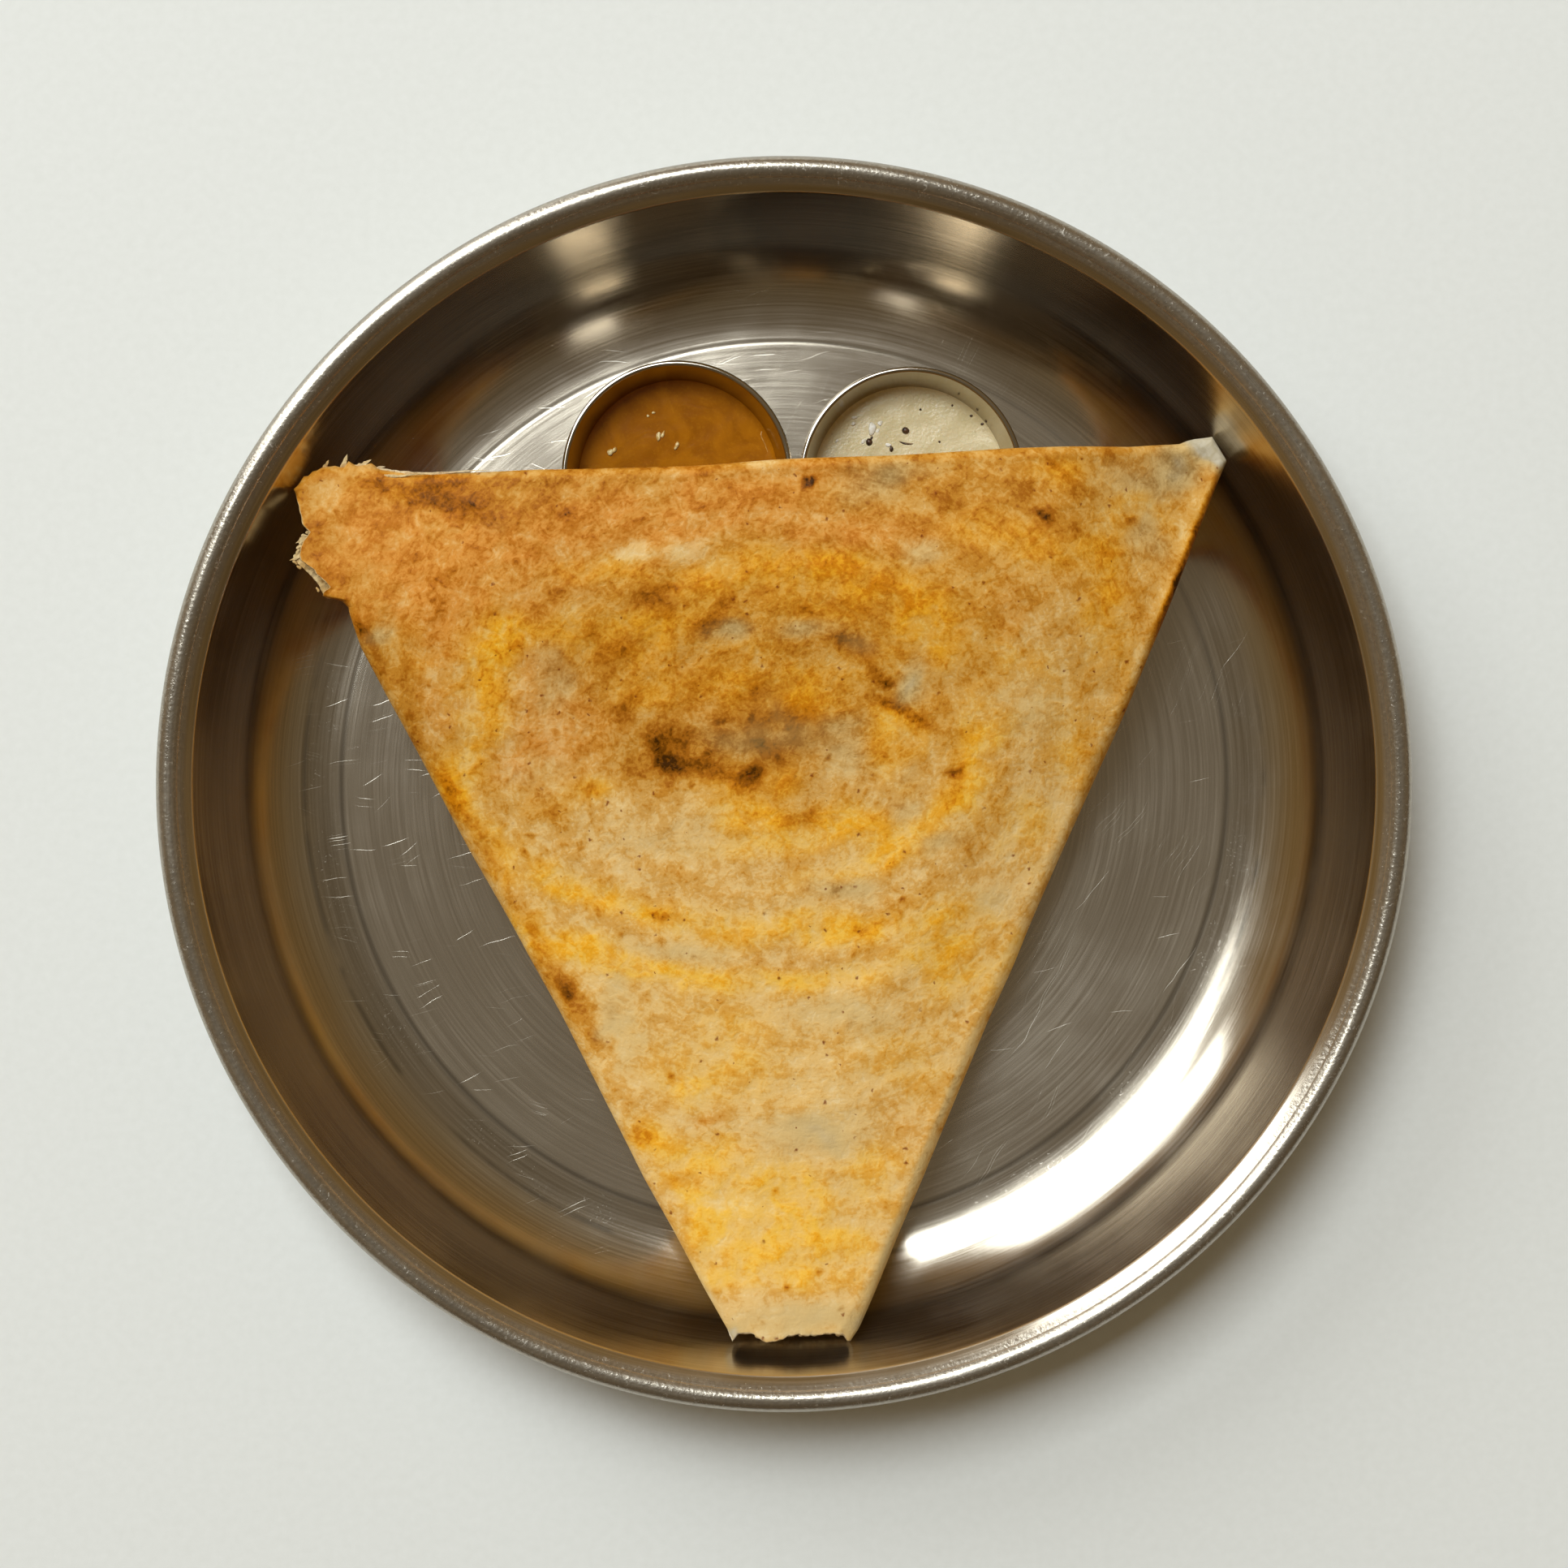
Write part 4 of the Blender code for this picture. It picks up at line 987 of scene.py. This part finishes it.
# Where the browning is golden yellow rather than tan, with how golden.
GOLDEN = [
    (-75, 17, 20, 6, 76, 0.95), (-80, -3, 7, 4, -60, 0.8), (-68, 36, 10, 5, 10, 0.6),
    (-90, 72, 14, 3, 0, 0.4), (-44, 51.5, 11, 3, 0, 0.7), (-20, 50, 15, 4, 4, 0.55),
    (8, 54, 15, 4, 2, 0.85), (28, 47, 15, 6.5, -8, 0.95), (34, 37, 10, 6, 0, 0.9), (16, 44, 8, 6, 0, 0.4),
    (-10, 24, 15, 5, -8, 0.6), (6, 25, 9, 8, 0, 0.8), (-32, 22, 11, 5, 0, 0.6),
    (-30, 40, 12, 3.4, 8, 0.5), (28, 10, 6, 7.5, 0, 0.85), (27, 16.5, 6, 2.6, -30, 0.9),
    (46, 11, 5.5, 9.5, -10, 1.0), (48, 2, 4.5, 4, 0, 0.9), (42, -5, 6.5, 4, 10, 1.0),
    (33, -10, 8, 2.6, 28, 0.6), (30, -16, 12, 3, 22, 0.85), (10, -10, 18, 4.6, -3, 1.0),
    (-12, -6, 9, 4.5, -10, 0.95), (0, -15, 20, 3, 3, 0.6), (18, -20, 17, 3, 14, 0.55),
    (-12, 1, 6, 3, 0, 0.7), (-1, 0, 4.5, 3.4, 0, 0.7), (-46, -1, 4.6, 2.8, 0, 0.95),
    (-58, -22, 9, 4, -35, 0.7), (-45, -28, 15, 3.4, -14, 1.0), (-30, -32, 8, 2.8, -10, 1.0),
    (-12, -36, 15, 3.6, -6, 0.6), (5, -35, 13, 3.5, 4, 0.65), (20, -35, 9, 3, 10, 1.0),
    (12, -38, 7, 3, 0, 0.7), (-50, -41, 13, 4.5, -10, 1.0), (-32, -46, 15, 3.8, -8, 1.0),
    (-8, -48, 17, 3.2, -3, 0.85), (12, -48, 13, 2.6, 4, 0.75), (37, -41, 11, 5, 6, 1.0),
    (38, -34, 10, 2.4, 12, 0.65), (45, -50, 9, 4, 10, 0.5), (-62, -36, 4, 7, 28, 0.7),
    (-73, -17, 4, 7, 28, 0.7), (-13, -66, 13, 9, 0, 0.45), (-20, -75, 11, 4.5, -10, 0.6),
    (28, -66, 11, 7, 0, 0.3), (-33, -86, 5.5, 4.5, -10, 0.9), (-18, -92, 13, 4.6, -8, 0.95),
    (-2, -96, 9, 3.4, 0, 0.7), (23, -93, 9, 4, 0, 0.5), (25, -101, 7, 7, 0, 0.5),
    (4, -103, 10, 6.5, 0, 1.0), (-16, -104, 11, 7, 0, 0.65), (-8, -115, 15, 6, 0, 0.85),
    (10, -114, 13, 5.5, 0, 0.85), (-24, -103, 4, 9, 28, 0.7), (-12, -121, 11, 3.4, 0, 0.8),
    (10, -122, 9, 3, 0, 0.6), (66, 75.5, 7, 3.2, 5, 0.85), (65, 57, 13, 5.5, -10, 0.65),
    (47, 62, 9, 4.5, 0, 0.45), (79, 46, 6.5, 8, -20, 0.8), (78, 33, 6, 6, 0, 0.45),
    (55, 33, 7, 7, 0, 0.3), (70, 6, 5.5, 9, -20, 0.65), (100.3, 60, 17, 1.4, 67.8, 0.6),
    (93.6, 44, 9, 1.4, 67.8, 0.6), (40, -30, 8, 4, 0, 0.4), (40, -46, 8, 4, 0, 0.3),
    (-80, 18, 7, 9, 70, -0.3), (0, -46, 12, 5, 0, -0.3), (0, -110, 10, 6, 0, 0.2),
    (88, 70, 11, 8, 0, 0.25), (58, -12, 9, 7, 0, 0.5), (55, -40, 6, 8, 0, 0.35), (-60, -3, 10, 5, 0, 0.2),
    (80, 60, 10, 12, 0, 0.25), (60, 20, 30, 18, 0, 0.15), (0, -60, 60, 30, 0, 0.12),
    (-40, 34, 13, 9, 0, 0.5), (-18, 34, 18, 6, 0, 0.4), (2, 46, 24, 8, 0, 0.4), (22, 30, 9, 7, 0, 0.4),
    (0, 17, 14, 5, 0, 0.3), (-90, 28, 10, 8, 0, 0.25), (-55, 36, 8, 6, 0, 0.4),
    (18.6, -117.5, 4, 5, 0, 0.3),
]
# Where it is pinkish orange, as in the upper left, with how much.
ROSY = [
    (-100, 60, 20, 15, 0, 0.85), (-78, 50, 24, 15, 0, 0.85), (-50, 62, 30, 12, 0, 0.75),
    (-10, 66, 30, 9, 3, 0.9), (25, 61, 15, 5, -6, 0.75), (14, 76, 10, 4, 0, 0.5),
    (-86, 35, 12, 11, 0, 0.65), (-62, 20, 11, 15, 0, 0.6), (-25, 30, 18, 5, 0, 0.4),
    (-52, 12, 11, 10, 0, 0.5), (55, 41, 7, 7, 0, 0.35), (-20, 18, 12, 4, 0, 0.3),
    (-80, 18, 7, 10, 70, 0.45), (20, 30, 10, 4, 0, 0.2), (34, -84, 5, 8, 0, 0.2),
    (-19, -83, 4, 1.6, 10, 0.5), (-60, 5, 10, 8, 0, 0.3), (-24.5, 57.6, 6, 3.2, 8, -0.8),
    (-37.5, 55.6, 6, 2.8, 12, -0.7), (-5.5, 78, 6, 2, 5, -0.6), (-100, 35.5, 4, 5, -60, -0.5),
    (-80, 68, 12, 3, -10, -0.3), (22, 73, 8, 5, 0, -0.4),
]
# Where the crepe is thin, pale and greyish, with how much.
ASHEN = [
    (104.2, 83.2, 7.5, 3.2, -32, 0.9), (107.5, 81.5, 2.6, 4.0, 0, 0.6), (97, 78.5, 7, 5, -20, 0.32),
    (88, 76, 12, 6, 10, 0.3), (-85, 76.4, 18, 1.1, -3, 0.5), (-14, 37, 6.5, 2.6, 5, 0.45),
    (5, 38, 9, 2.5, 5, 0.32), (18, 33.5, 6, 2.4, -22, 0.35), (30.5, 24, 3.4, 5, -20, 0.55),
    (14, 5, 8, 7, -20, 0.38), (-7.0, 12.0, 13, 6.0, -3, 0.42), (14, 15, 9, 3, 0, 0.25),
    (-55, 24, 6, 9, 20, 0.25), (-60, 3, 8, 6, 0, 0.2), (-99.5, 35.5, 3, 4.5, -60, 0.40),
    (-70, 62.5, 5, 2.4, 0, 0.12), (22, 73, 9, 5, 0, 0.3), (34, 56, 5, 4, 0, 0.35),
    (30, -5, 5, 5.5, -20, 0.45), (38, -15, 7, 3, 20, 0.35), (14, -26, 10, 4, -5, 0.4),
    (-26, -41, 14, 2.6, -8, 0.35), (-43, -57, 5, 10, -25, 0.35), (16, -57, 12, 4, 0, 0.35),
    (9, -86, 13, 5.5, 0, 0.5), (-30, -12, 22, 7, 0, 0.12), (50.5, -28.5, 5.5, 5.5, 0, 0.25),
    (58, 18, 7, 9, 0, 0.25), (89, 61, 5, 8, 0, 0.3), (30, 76, 8, 3, 0, 0.3), (-36, -66, 4, 8, -25, 0.2),
    (-31, -111, 24, 1.0, -61, 0.35), (-20, -126, 9, 2.2, -61, 0.3), (30, -104, 20, 1.2, 67, 0.4),
    (22, -122.5, 14, 2.4, 67, 0.28), (17, -134, 4, 4.5, 0, 0.32), (-13, -135, 2.6, 3.2, 0, 0.7),
    (1, -131.5, 18, 4.6, 0, 0.42), (10, -130, 8, 3, 0, 0.1), (42, -74, 24, 1.0, 66, 0.35),
    (-5, -70, 40, 30, 0, 0.06),
]


def patches(table, x, y, aside_x, aside_y):
    """The sum, over a table, of each patch's share times its strength.

    A patch's share is the exponential of minus the 1.3rd power of the squared distance from its
    middle, measured in its own half length and half width. The places are first pushed aside, by
    less for a patch under 8 mm wide.
    """
    total = np.zeros_like(x)
    for east, north, long, wide, turn, strength in table:
        c, s = math.cos(math.radians(turn)), math.sin(math.radians(turn))
        push = min(1, (wide / 8) ** 1.5)
        dx, dy = x + push * aside_x - east / 1000, y + push * aside_y - north / 1000
        a, b = (c * dx + s * dy) / (long / 1000), (c * dy - s * dx) / (wide / 1000)
        total += strength * np.exp(-((a * a + b * b) ** 1.3))
    return total


def paint_crepe(piece):
    """Stores how brown, golden, rosy and ashen each point is, looked up at ragged places.

    The places are pushed aside by lumps of 9 and 3 mm, so that no patch keeps its oval. The
    underside is painted paler, as painted bounce light that brightens it and its reflection in the steel.
    """
    count = len(piece.data.vertices)
    points = np.empty(count * 3, dtype=np.float32)
    piece.data.vertices.foreach_get("co", points)
    x, y, z = points.reshape(-1, 3).astype(float).T
    aside_x = 0.010 * (lumps(x, y, 0.009, 51) - 0.5) + 0.004 * (lumps(x, y, 0.003, 52) - 0.5)
    aside_y = 0.010 * (lumps(x, y, 0.009, 53) - 0.5) + 0.004 * (lumps(x, y, 0.003, 54) - 0.5)
    base = np.interp(y, *zip(*GROUND_BROWN))
    brown = base + patches(BROWNING, x, y, aside_x, aside_y) + 0.08 * (lumps(x, y, 0.012, 55) - 0.5)
    brown += 0.10 * (lumps(x, y, 0.004, 56) - 0.5) + 0.08 * (lumps(x, y, 0.0022, 58) - 0.5)
    brown += 0.04 * spread_ridges(x, y)
    # painted light: points below the folds' middle are made paler, standing in for bounce light on the
    # shaded underside
    brown -= 0.15 * ease(station(1, y) - droop(x, y) - z, 0, 0.003)
    ragged = 0.7 + 0.6 * lumps(x, y, 0.007, 57)
    looks = {
        "brown": brown,
        "golden": patches(GOLDEN, x, y, aside_x, aside_y) * ragged,
        "rosy": patches(ROSY, x, y, aside_x, aside_y),
        "ashen": patches(ASHEN, x, y, aside_x, aside_y) * ragged,
    }
    for name, values in looks.items():
        layer = piece.data.attributes.new(name, "FLOAT", "POINT")
        layer.data.foreach_set("value", np.clip(values, 0, 1).astype(np.float32))


def ramp(tree, value, stops):
    """A colour ramp: stops are (share, colour), eased between."""
    node = add(tree, "ValToRGB", {0: value})
    node.color_ramp.interpolation = "EASE"
    while len(node.color_ramp.elements) < len(stops):
        node.color_ramp.elements.new(0.5)
    for element, (share, colour) in zip(node.color_ramp.elements, stops):
        element.position = share
        element.color = colour
    return node.outputs[0]


CHAR = tint(70, 38, 1)
CRUST_TAN = [  # how brown, from 0 to 1, and the colour
    (0.0, tint(238, 208, 152)), (0.25, tint(230, 190, 122)), (0.45, tint(216, 163, 82)),
    (0.6, tint(199, 135, 44)), (0.75, tint(170, 101, 18)), (0.9, tint(122, 69, 4)), (1.0, CHAR),
]
CRUST_GOLD = [
    (0.0, tint(246, 206, 118)), (0.3, tint(245, 192, 76)), (0.5, tint(238, 168, 36)),
    (0.68, tint(212, 130, 12)), (0.85, tint(154, 87, 4)), (1.0, CHAR),
]
CRUST_ROSE = [
    (0.0, tint(242, 195, 130)), (0.3, tint(230, 171, 96)), (0.5, tint(218, 146, 60)),
    (0.68, tint(195, 118, 29)), (0.82, tint(162, 91, 11)), (1.0, CHAR),
]


def crepe_pores(tree, place, ashen):
    """Small pores: cores of a few Voronoi cells, crowded here and there and most of all at the tip."""
    nudged = pushed(tree, place, place, 800.0, 0.0016, 2.0)
    cells = add(tree, "TexVoronoi", {"Vector": nudged, "Scale": 260.0}, voronoi_dimensions="2D").outputs
    chance = split(tree, cells["Color"])
    at_tip = fade(tree, split(tree, place)[1], -0.127, -0.133, 0.0, 0.3)
    crowd = plus(tree, noise(tree, place, 45.0, 1.0), at_tip)
    crowd = calc(tree, "SUBTRACT", crowd, times(tree, ashen, 0.1))
    chosen = fade(tree, plus(tree, chance[0], crowd), 1.33, 1.40)
    size = calc(tree, "MULTIPLY_ADD", chance[1], 0.11, 0.04)
    outside = fade(tree, calc(tree, "DIVIDE", cells["Distance"], size), 0.1, 1.3)
    return times(tree, calc(tree, "SUBTRACT", 1.0, outside), chosen)


def crepe_crust():
    """The griddled side: tan, golden and rosy by the stored looks, curdled, streaked and pored.

    Curls, swirls and blotches of noise, and streaks that follow the spiral, shift the browning up
    and down.
    """
    made, tree, shader, place = new_material("crepe_crust", Roughness=0.5, Specular_IOR_Level=0.06)
    looks = {name: add(tree, "Attribute", attribute_name=name).outputs["Fac"]
             for name in ("brown", "golden", "rosy", "ashen")}
    curls = noise(tree, place, 460.0, 4.0, distortion=0.7, roughness=0.55)
    blotch = noise(tree, place, 150.0, 3.0, distortion=0.8)
    grit = noise(tree, place, 1400.0)
    out = vector(tree, "SUBTRACT", place, (*SPREAD_CENTRE, 0.0))
    radius, way = outwards(tree, vector(tree, "MULTIPLY", out, (1.0, 1.0, 0.0)))
    spun = joined(tree, times(tree, way[0], 20.0), times(tree, way[1], 20.0), times(tree, radius, 850.0))
    streaks = calc(tree, "SUBTRACT", noise(tree, spun, 1.0, 3.0, roughness=0.6), 0.5)
    near, far = fade(tree, radius, 0.006, 0.020), fade(tree, radius, 0.09, 0.13, 1.0, 0.4)
    streaks = times(tree, streaks, near, far)
    swirls = calc(tree, "SUBTRACT", noise(tree, place, 290.0, 2.0, distortion=2.2), 0.5)
    swirls = times(tree, swirls, calc(tree, "MULTIPLY_ADD", looks["rosy"], 0.40, 0.25))
    shift = calc(tree, "MULTIPLY_ADD", streaks, 0.38, centred(tree, curls, 0.62))
    shift = plus(tree, shift, swirls, centred(tree, blotch, 0.5), centred(tree, grit, 0.25))
    lively = fade(tree, looks["brown"], 0.3, 0.8, 0.95, 0.75)
    brown = calc(tree, "MULTIPLY_ADD", shift, lively, looks["brown"])
    thick_ash = layers(tree, tint(200, 190, 168), (fade(tree, curls, 0.3, 0.7), tint(184, 171, 142)))
    ash = layers(
        tree, tint(212, 182, 124), (fade(tree, brown, 0.35, 0.75), tint(160, 126, 70)),
        (fade(tree, looks["ashen"], 0.45, 0.8), thick_ash),
    )
    rosy = times(tree, looks["rosy"], fade(tree, blotch, 0.3, 0.6, 0.6, 1.0))
    golden = times(tree, looks["golden"], fade(tree, blotch, 0.34, 0.6, 0.5, 1.0))
    pores = crepe_pores(tree, place, looks["ashen"])
    tone = layers(
        tree, ramp(tree, brown, CRUST_TAN), (rosy, ramp(tree, brown, CRUST_ROSE)),
        (golden, ramp(tree, brown, CRUST_GOLD)), (fade(tree, looks["ashen"], 0.0, 0.6), ash),
        (times(tree, pores, 0.9), tint(128, 58, 8)),
    )
    tree.links.new(tone, shader.inputs["Base Color"])
    tree.links.new(fade(tree, brown, 0.2, 0.9, 0.62, 0.42), shader.inputs["Roughness"])
    height = plus(tree, times(tree, curls, 0.00022), times(tree, blotch, 0.00040),
                  times(tree, streaks, 0.00012), times(tree, grit, 0.00007))
    relief(tree, shader, height, 0.8)
    return made


def crepe_crumb():
    """The soft side and the torn edges: cream to tan and full of small holes."""
    made, tree, shader, place = new_material("crepe_crumb", Roughness=0.75, Specular_IOR_Level=0.12)
    cells = add(tree, "TexVoronoi", {"Vector": place, "Scale": 900.0}).outputs["Distance"]
    cloud = noise(tree, place, 260.0, 3.0)
    ashen = add(tree, "Attribute", attribute_name="ashen").outputs["Fac"]
    tone = layers(
        tree, tint(222, 196, 146), (fade(tree, cloud, 0.35, 0.65), tint(196, 158, 98)),
        (ashen, tint(206, 196, 178)), (fade(tree, cells, 0.25, 0.1, 0.0, 0.7), tint(150, 104, 52)),
    )
    tree.links.new(tone, shader.inputs["Base Color"])
    relief(tree, shader, plus(tree, times(tree, cells, 0.0004), times(tree, cloud, 0.0003)))
    return made


upper_skin, lower_skin, crepe_u, crepe_opened = crepe_skins()
torn_rows = np.nonzero(crepe_opened > 0)[0]
torn_rows = slice(torn_rows[0] - 1, torn_rows[-1] + 2)
dosa = surface(
    "dosa_crepe",
    [upper_skin, lower_skin, mouth(upper_skin[0], lower_skin[0], crepe_u[0]),
     corner_slot(upper_skin[torn_rows, 0], lower_skin[torn_rows, 0], crepe_opened[torn_rows])],
    [crepe_crust(), crepe_crumb()], wears=(0, 0, 1, 1),
)
paint_crepe(dosa)
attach(dosa, "root")
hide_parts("dosa")


def shred(path, half_width, lift):
    """Grid of a thin torn shred along a smooth curve through (x, y) points in mm.

    Across, it is an ellipse 0.16 mm thick. It widens fast from its root to the half width, and
    tapers to a point at its end. It lies at the folds' middle height plus the lift.
    """
    knots = np.linspace(0, 1, len(path))
    share = np.linspace(0, 1, 30)
    x, y = (np.interp(share, knots, np.array(path)[:, k]) / 1000 for k in (0, 1))
    for _ in range(4):
        x[1:-1], y[1:-1] = ((v[:-2] + 2 * v[1:-1] + v[2:]) / 4 for v in (x, y))
    z = station(1, y) - droop(x, y) + lift / 1000 + 0.0003 * np.sin(math.pi * share)
    way = np.gradient(np.stack((x, y), axis=1), axis=0)
    way /= np.linalg.norm(way, axis=1)[:, None]
    size = np.clip(share / 0.12, 0, 1) ** 0.5 * (1 - share) ** 0.8
    ragged = 0.6 + 0.8 * lumps(x, y, 0.0006, 47)
    turn = np.linspace(0, 2 * math.pi, 11)[None, :]
    aside = (size * ragged * half_width / 1000)[:, None] * np.cos(turn)
    high = (size * 0.00008)[:, None] * np.sin(turn)
    across_x, across_y = x[:, None] + way[:, 1:] * aside, y[:, None] - way[:, :1] * aside
    return np.stack((across_x, across_y, z[:, None] + high), axis=-1)


TORN_SHREDS = [  # points along it, half width, lift
    ([(-107.9, 76.8), (-107.4, 78.6), (-106.8, 80.7)], 0.95, 0.9),
    ([(-105.0, 76.6), (-103.0, 78.0), (-100.8, 79.3)], 0.95, 0.9),
    ([(-112.6, 77.0), (-111.8, 78.2), (-111.4, 79.3)], 0.70, 0.8),
    ([(-100.4, 76.4), (-98.8, 77.3), (-97.3, 77.5)], 0.60, 0.9),
    ([(-103.0, 76.6), (-97.0, 76.5), (-91.0, 75.7), (-84.0, 75.6), (-76.0, 76.2), (-71.0, 76.2)],
     0.60, 1.0),
    ([(-98.0, 75.2), (-94.0, 74.9), (-89.0, 75.4), (-84.5, 75.2)], 0.45, 2.3),
    ([(-117.4, 56.6), (-119.4, 55.2), (-121.1, 54.7)], 0.80, -1.4),
    ([(-116.4, 60.6), (-118.2, 59.6), (-119.6, 58.9)], 0.80, -1.2),
    ([(-13.4, -132.6), (-13.0, -134.8), (-12.6, -137.0)], 0.80, 0.4),
    ([(17.0, -132.8), (16.6, -134.8), (16.3, -136.9)], 0.85, 0.4),
]
TORN_CRUMBS = [  # x, y, lift, radius, stretch, turn
    (-116.4, 61.7, -1.2, 0.55, 1.3, 40), (-117.5, 60.7, -1.2, 0.60, 1.2, 20),
    (-118.3, 59.4, -1.2, 0.60, 1.3, 80), (-118.6, 58.0, -1.3, 0.60, 1.2, 70),
    (-119.0, 56.7, -1.3, 0.55, 1.4, 50), (-119.6, 55.5, -1.4, 0.60, 1.3, 30),
    (-119.6, 54.2, -1.4, 0.50, 1.3, -50), (-118.6, 53.0, -1.5, 0.45, 1.4, -50),
    (-114.0, 47.5, -1.2, 0.40, 1.4, -60), (-9.2, -134.4, 3.0, 0.40, 1.5, 0),
    (-6.6, -135.2, 3.0, 0.45, 1.4, -20), (-4.0, -136.2, 3.0, 0.45, 1.5, 10),
    (-1.0, -135.6, 3.0, 0.45, 1.4, 15), (1.4, -134.8, 3.0, 0.40, 1.5, 30),
    (4.2, -134.9, 3.0, 0.35, 1.6, 0), (7.4, -134.8, 3.0, 0.40, 1.5, 0), (10.8, -134.5, 3.0, 0.35, 1.6, 0),
    (13.2, -134.9, 2.8, 0.40, 1.4, -30),
]
crumb_places = []
for x, y, lift, size, stretch, turn in TORN_CRUMBS:
    x, y = x / 1000, y / 1000
    z = station(1, y) - droop(x, y) + lift / 1000
    crumb_places.append((x, y, z, size / 1000, stretch, turn))
torn_bits = [shred(*made) for made in TORN_SHREDS] + pebbles(crumb_places, 61, 0.6, 0.45)
shreds = surface("dosa_torn_bits", torn_bits, [dosa.data.materials[1]])
paint_crepe(shreds)
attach(shreds, "root")
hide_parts("dosa")

# ---- Table, light and camera -----------------------------------------------------------------
# The plate stands on a pale cloth. Two soft windows at the upper left light it, and the steel shows
# the dim room: warm above, bright low down behind the windows and dark low down opposite. The
# camera looks straight down, 700 mm above the rim.

CAMERA_HEIGHT = 0.733
RIM_HEIGHT = 0.033
VIEW_WIDTH = 0.3794
WINDOW_LIGHT = (0.92, 0.98, 1.0)
ROOM_COLOURS = [  # height, from the table's level at 0 to straight above at 1, and the colour
    (0.0, (0.27, 0.25, 0.21, 1)), (0.15, (0.22, 0.16, 0.08, 1)), (0.3, (0.20, 0.125, 0.045, 1)),
    (0.5, (0.19, 0.120, 0.045, 1)), (0.75, (0.20, 0.145, 0.075, 1)), (1.0, (0.166, 0.131, 0.085, 1)),
]
WINDOW_WAY = (-0.42, 0.91)
BRIGHT_WALL = (0.95, 0.92, 0.84, 1)
DARK_WALL = (0.15, 0.13, 0.10, 1)
BACKDROP = (0.72, 0.73, 0.72, 1)


def table_cloth():
    """Pale matt cloth, very slightly mottled."""
    made, tree, shader, place = new_material("pale_cloth", Roughness=0.85)
    tone = layers(tree, tint(236, 238, 236), (noise(tree, place, 420.0, 3.0), tint(228, 230, 227)))
    tree.links.new(tone, shader.inputs["Base Color"])
    return made


reach = np.linspace(-4.0, 4.0, 3)
floor_x, floor_y = np.meshgrid(reach, reach)
floor_grid = np.stack((floor_x, floor_y, np.full_like(floor_x, -0.0001)), axis=-1)
table = surface("table", [floor_grid], [table_cloth()])

world = bpy.data.worlds.new("room")
bpy.context.scene.world = world
world.use_nodes = True
room = world.node_tree
way = split(room, add(room, "TexCoord").outputs["Generated"])
low = fade(room, way[2], 0.22, 0.05)
towards = plus(room, times(room, way[0], WINDOW_WAY[0]), times(room, way[1], WINDOW_WAY[1]))
shade = layers(
    room, ramp(room, way[2], ROOM_COLOURS),
    (times(room, low, fade(room, towards, 0.78, 0.97)), BRIGHT_WALL),
    (times(room, low, fade(room, towards, -0.1, -0.7)), DARK_WALL),
)
dimmer_side = fade(room, towards, -0.75, -0.05, 0.62, 1.0)
brighter_side = fade(room, towards, 0.05, 0.8, 1.0, 1.3)
strength = times(room, dimmer_side, brighter_side)
seen = add(room, "LightPath").outputs["Is Camera Ray"]
background = room.nodes["Background"].inputs
room.links.new(layers(room, shade, (seen, BACKDROP)), background["Color"])
room.links.new(calc(room, "MAXIMUM", strength, seen), background["Strength"])


def softbox(name, size, tilt, azimuth, distance, power):
    """A rectangular lamp that faces the plate, tilted from straight above towards an azimuth."""
    lamp = bpy.data.lights.new(name, "AREA")
    lamp.shape = "RECTANGLE"
    lamp.size, lamp.size_y = size
    lamp.energy = power
    lamp.color = WINDOW_LIGHT
    made = bpy.data.objects.new(name, lamp)
    bpy.context.scene.collection.objects.link(made)
    tilt, azimuth = math.radians(tilt), math.radians(azimuth)
    made.location = (
        distance * math.sin(tilt) * math.cos(azimuth),
        distance * math.sin(tilt) * math.sin(azimuth),
        distance * math.cos(tilt),
    )
    made.rotation_euler = (tilt, 0, azimuth + math.pi / 2)


softbox("window", (2.3, 2.0), 30, 121, 4.5, 153)
softbox("far_window", (2.4, 2.0), 62, 132, 4.5, 75)

camera = bpy.data.objects.new("camera", bpy.data.cameras.new("camera"))
bpy.context.scene.collection.objects.link(camera)
camera.location = (0, 0, CAMERA_HEIGHT)
camera.data.sensor_width = 36
camera.data.lens = 36 * (CAMERA_HEIGHT - RIM_HEIGHT) / VIEW_WIDTH
camera.data.clip_start = 0.01
bpy.context.scene.camera = camera
bpy.context.scene.view_settings.view_transform = "Standard"
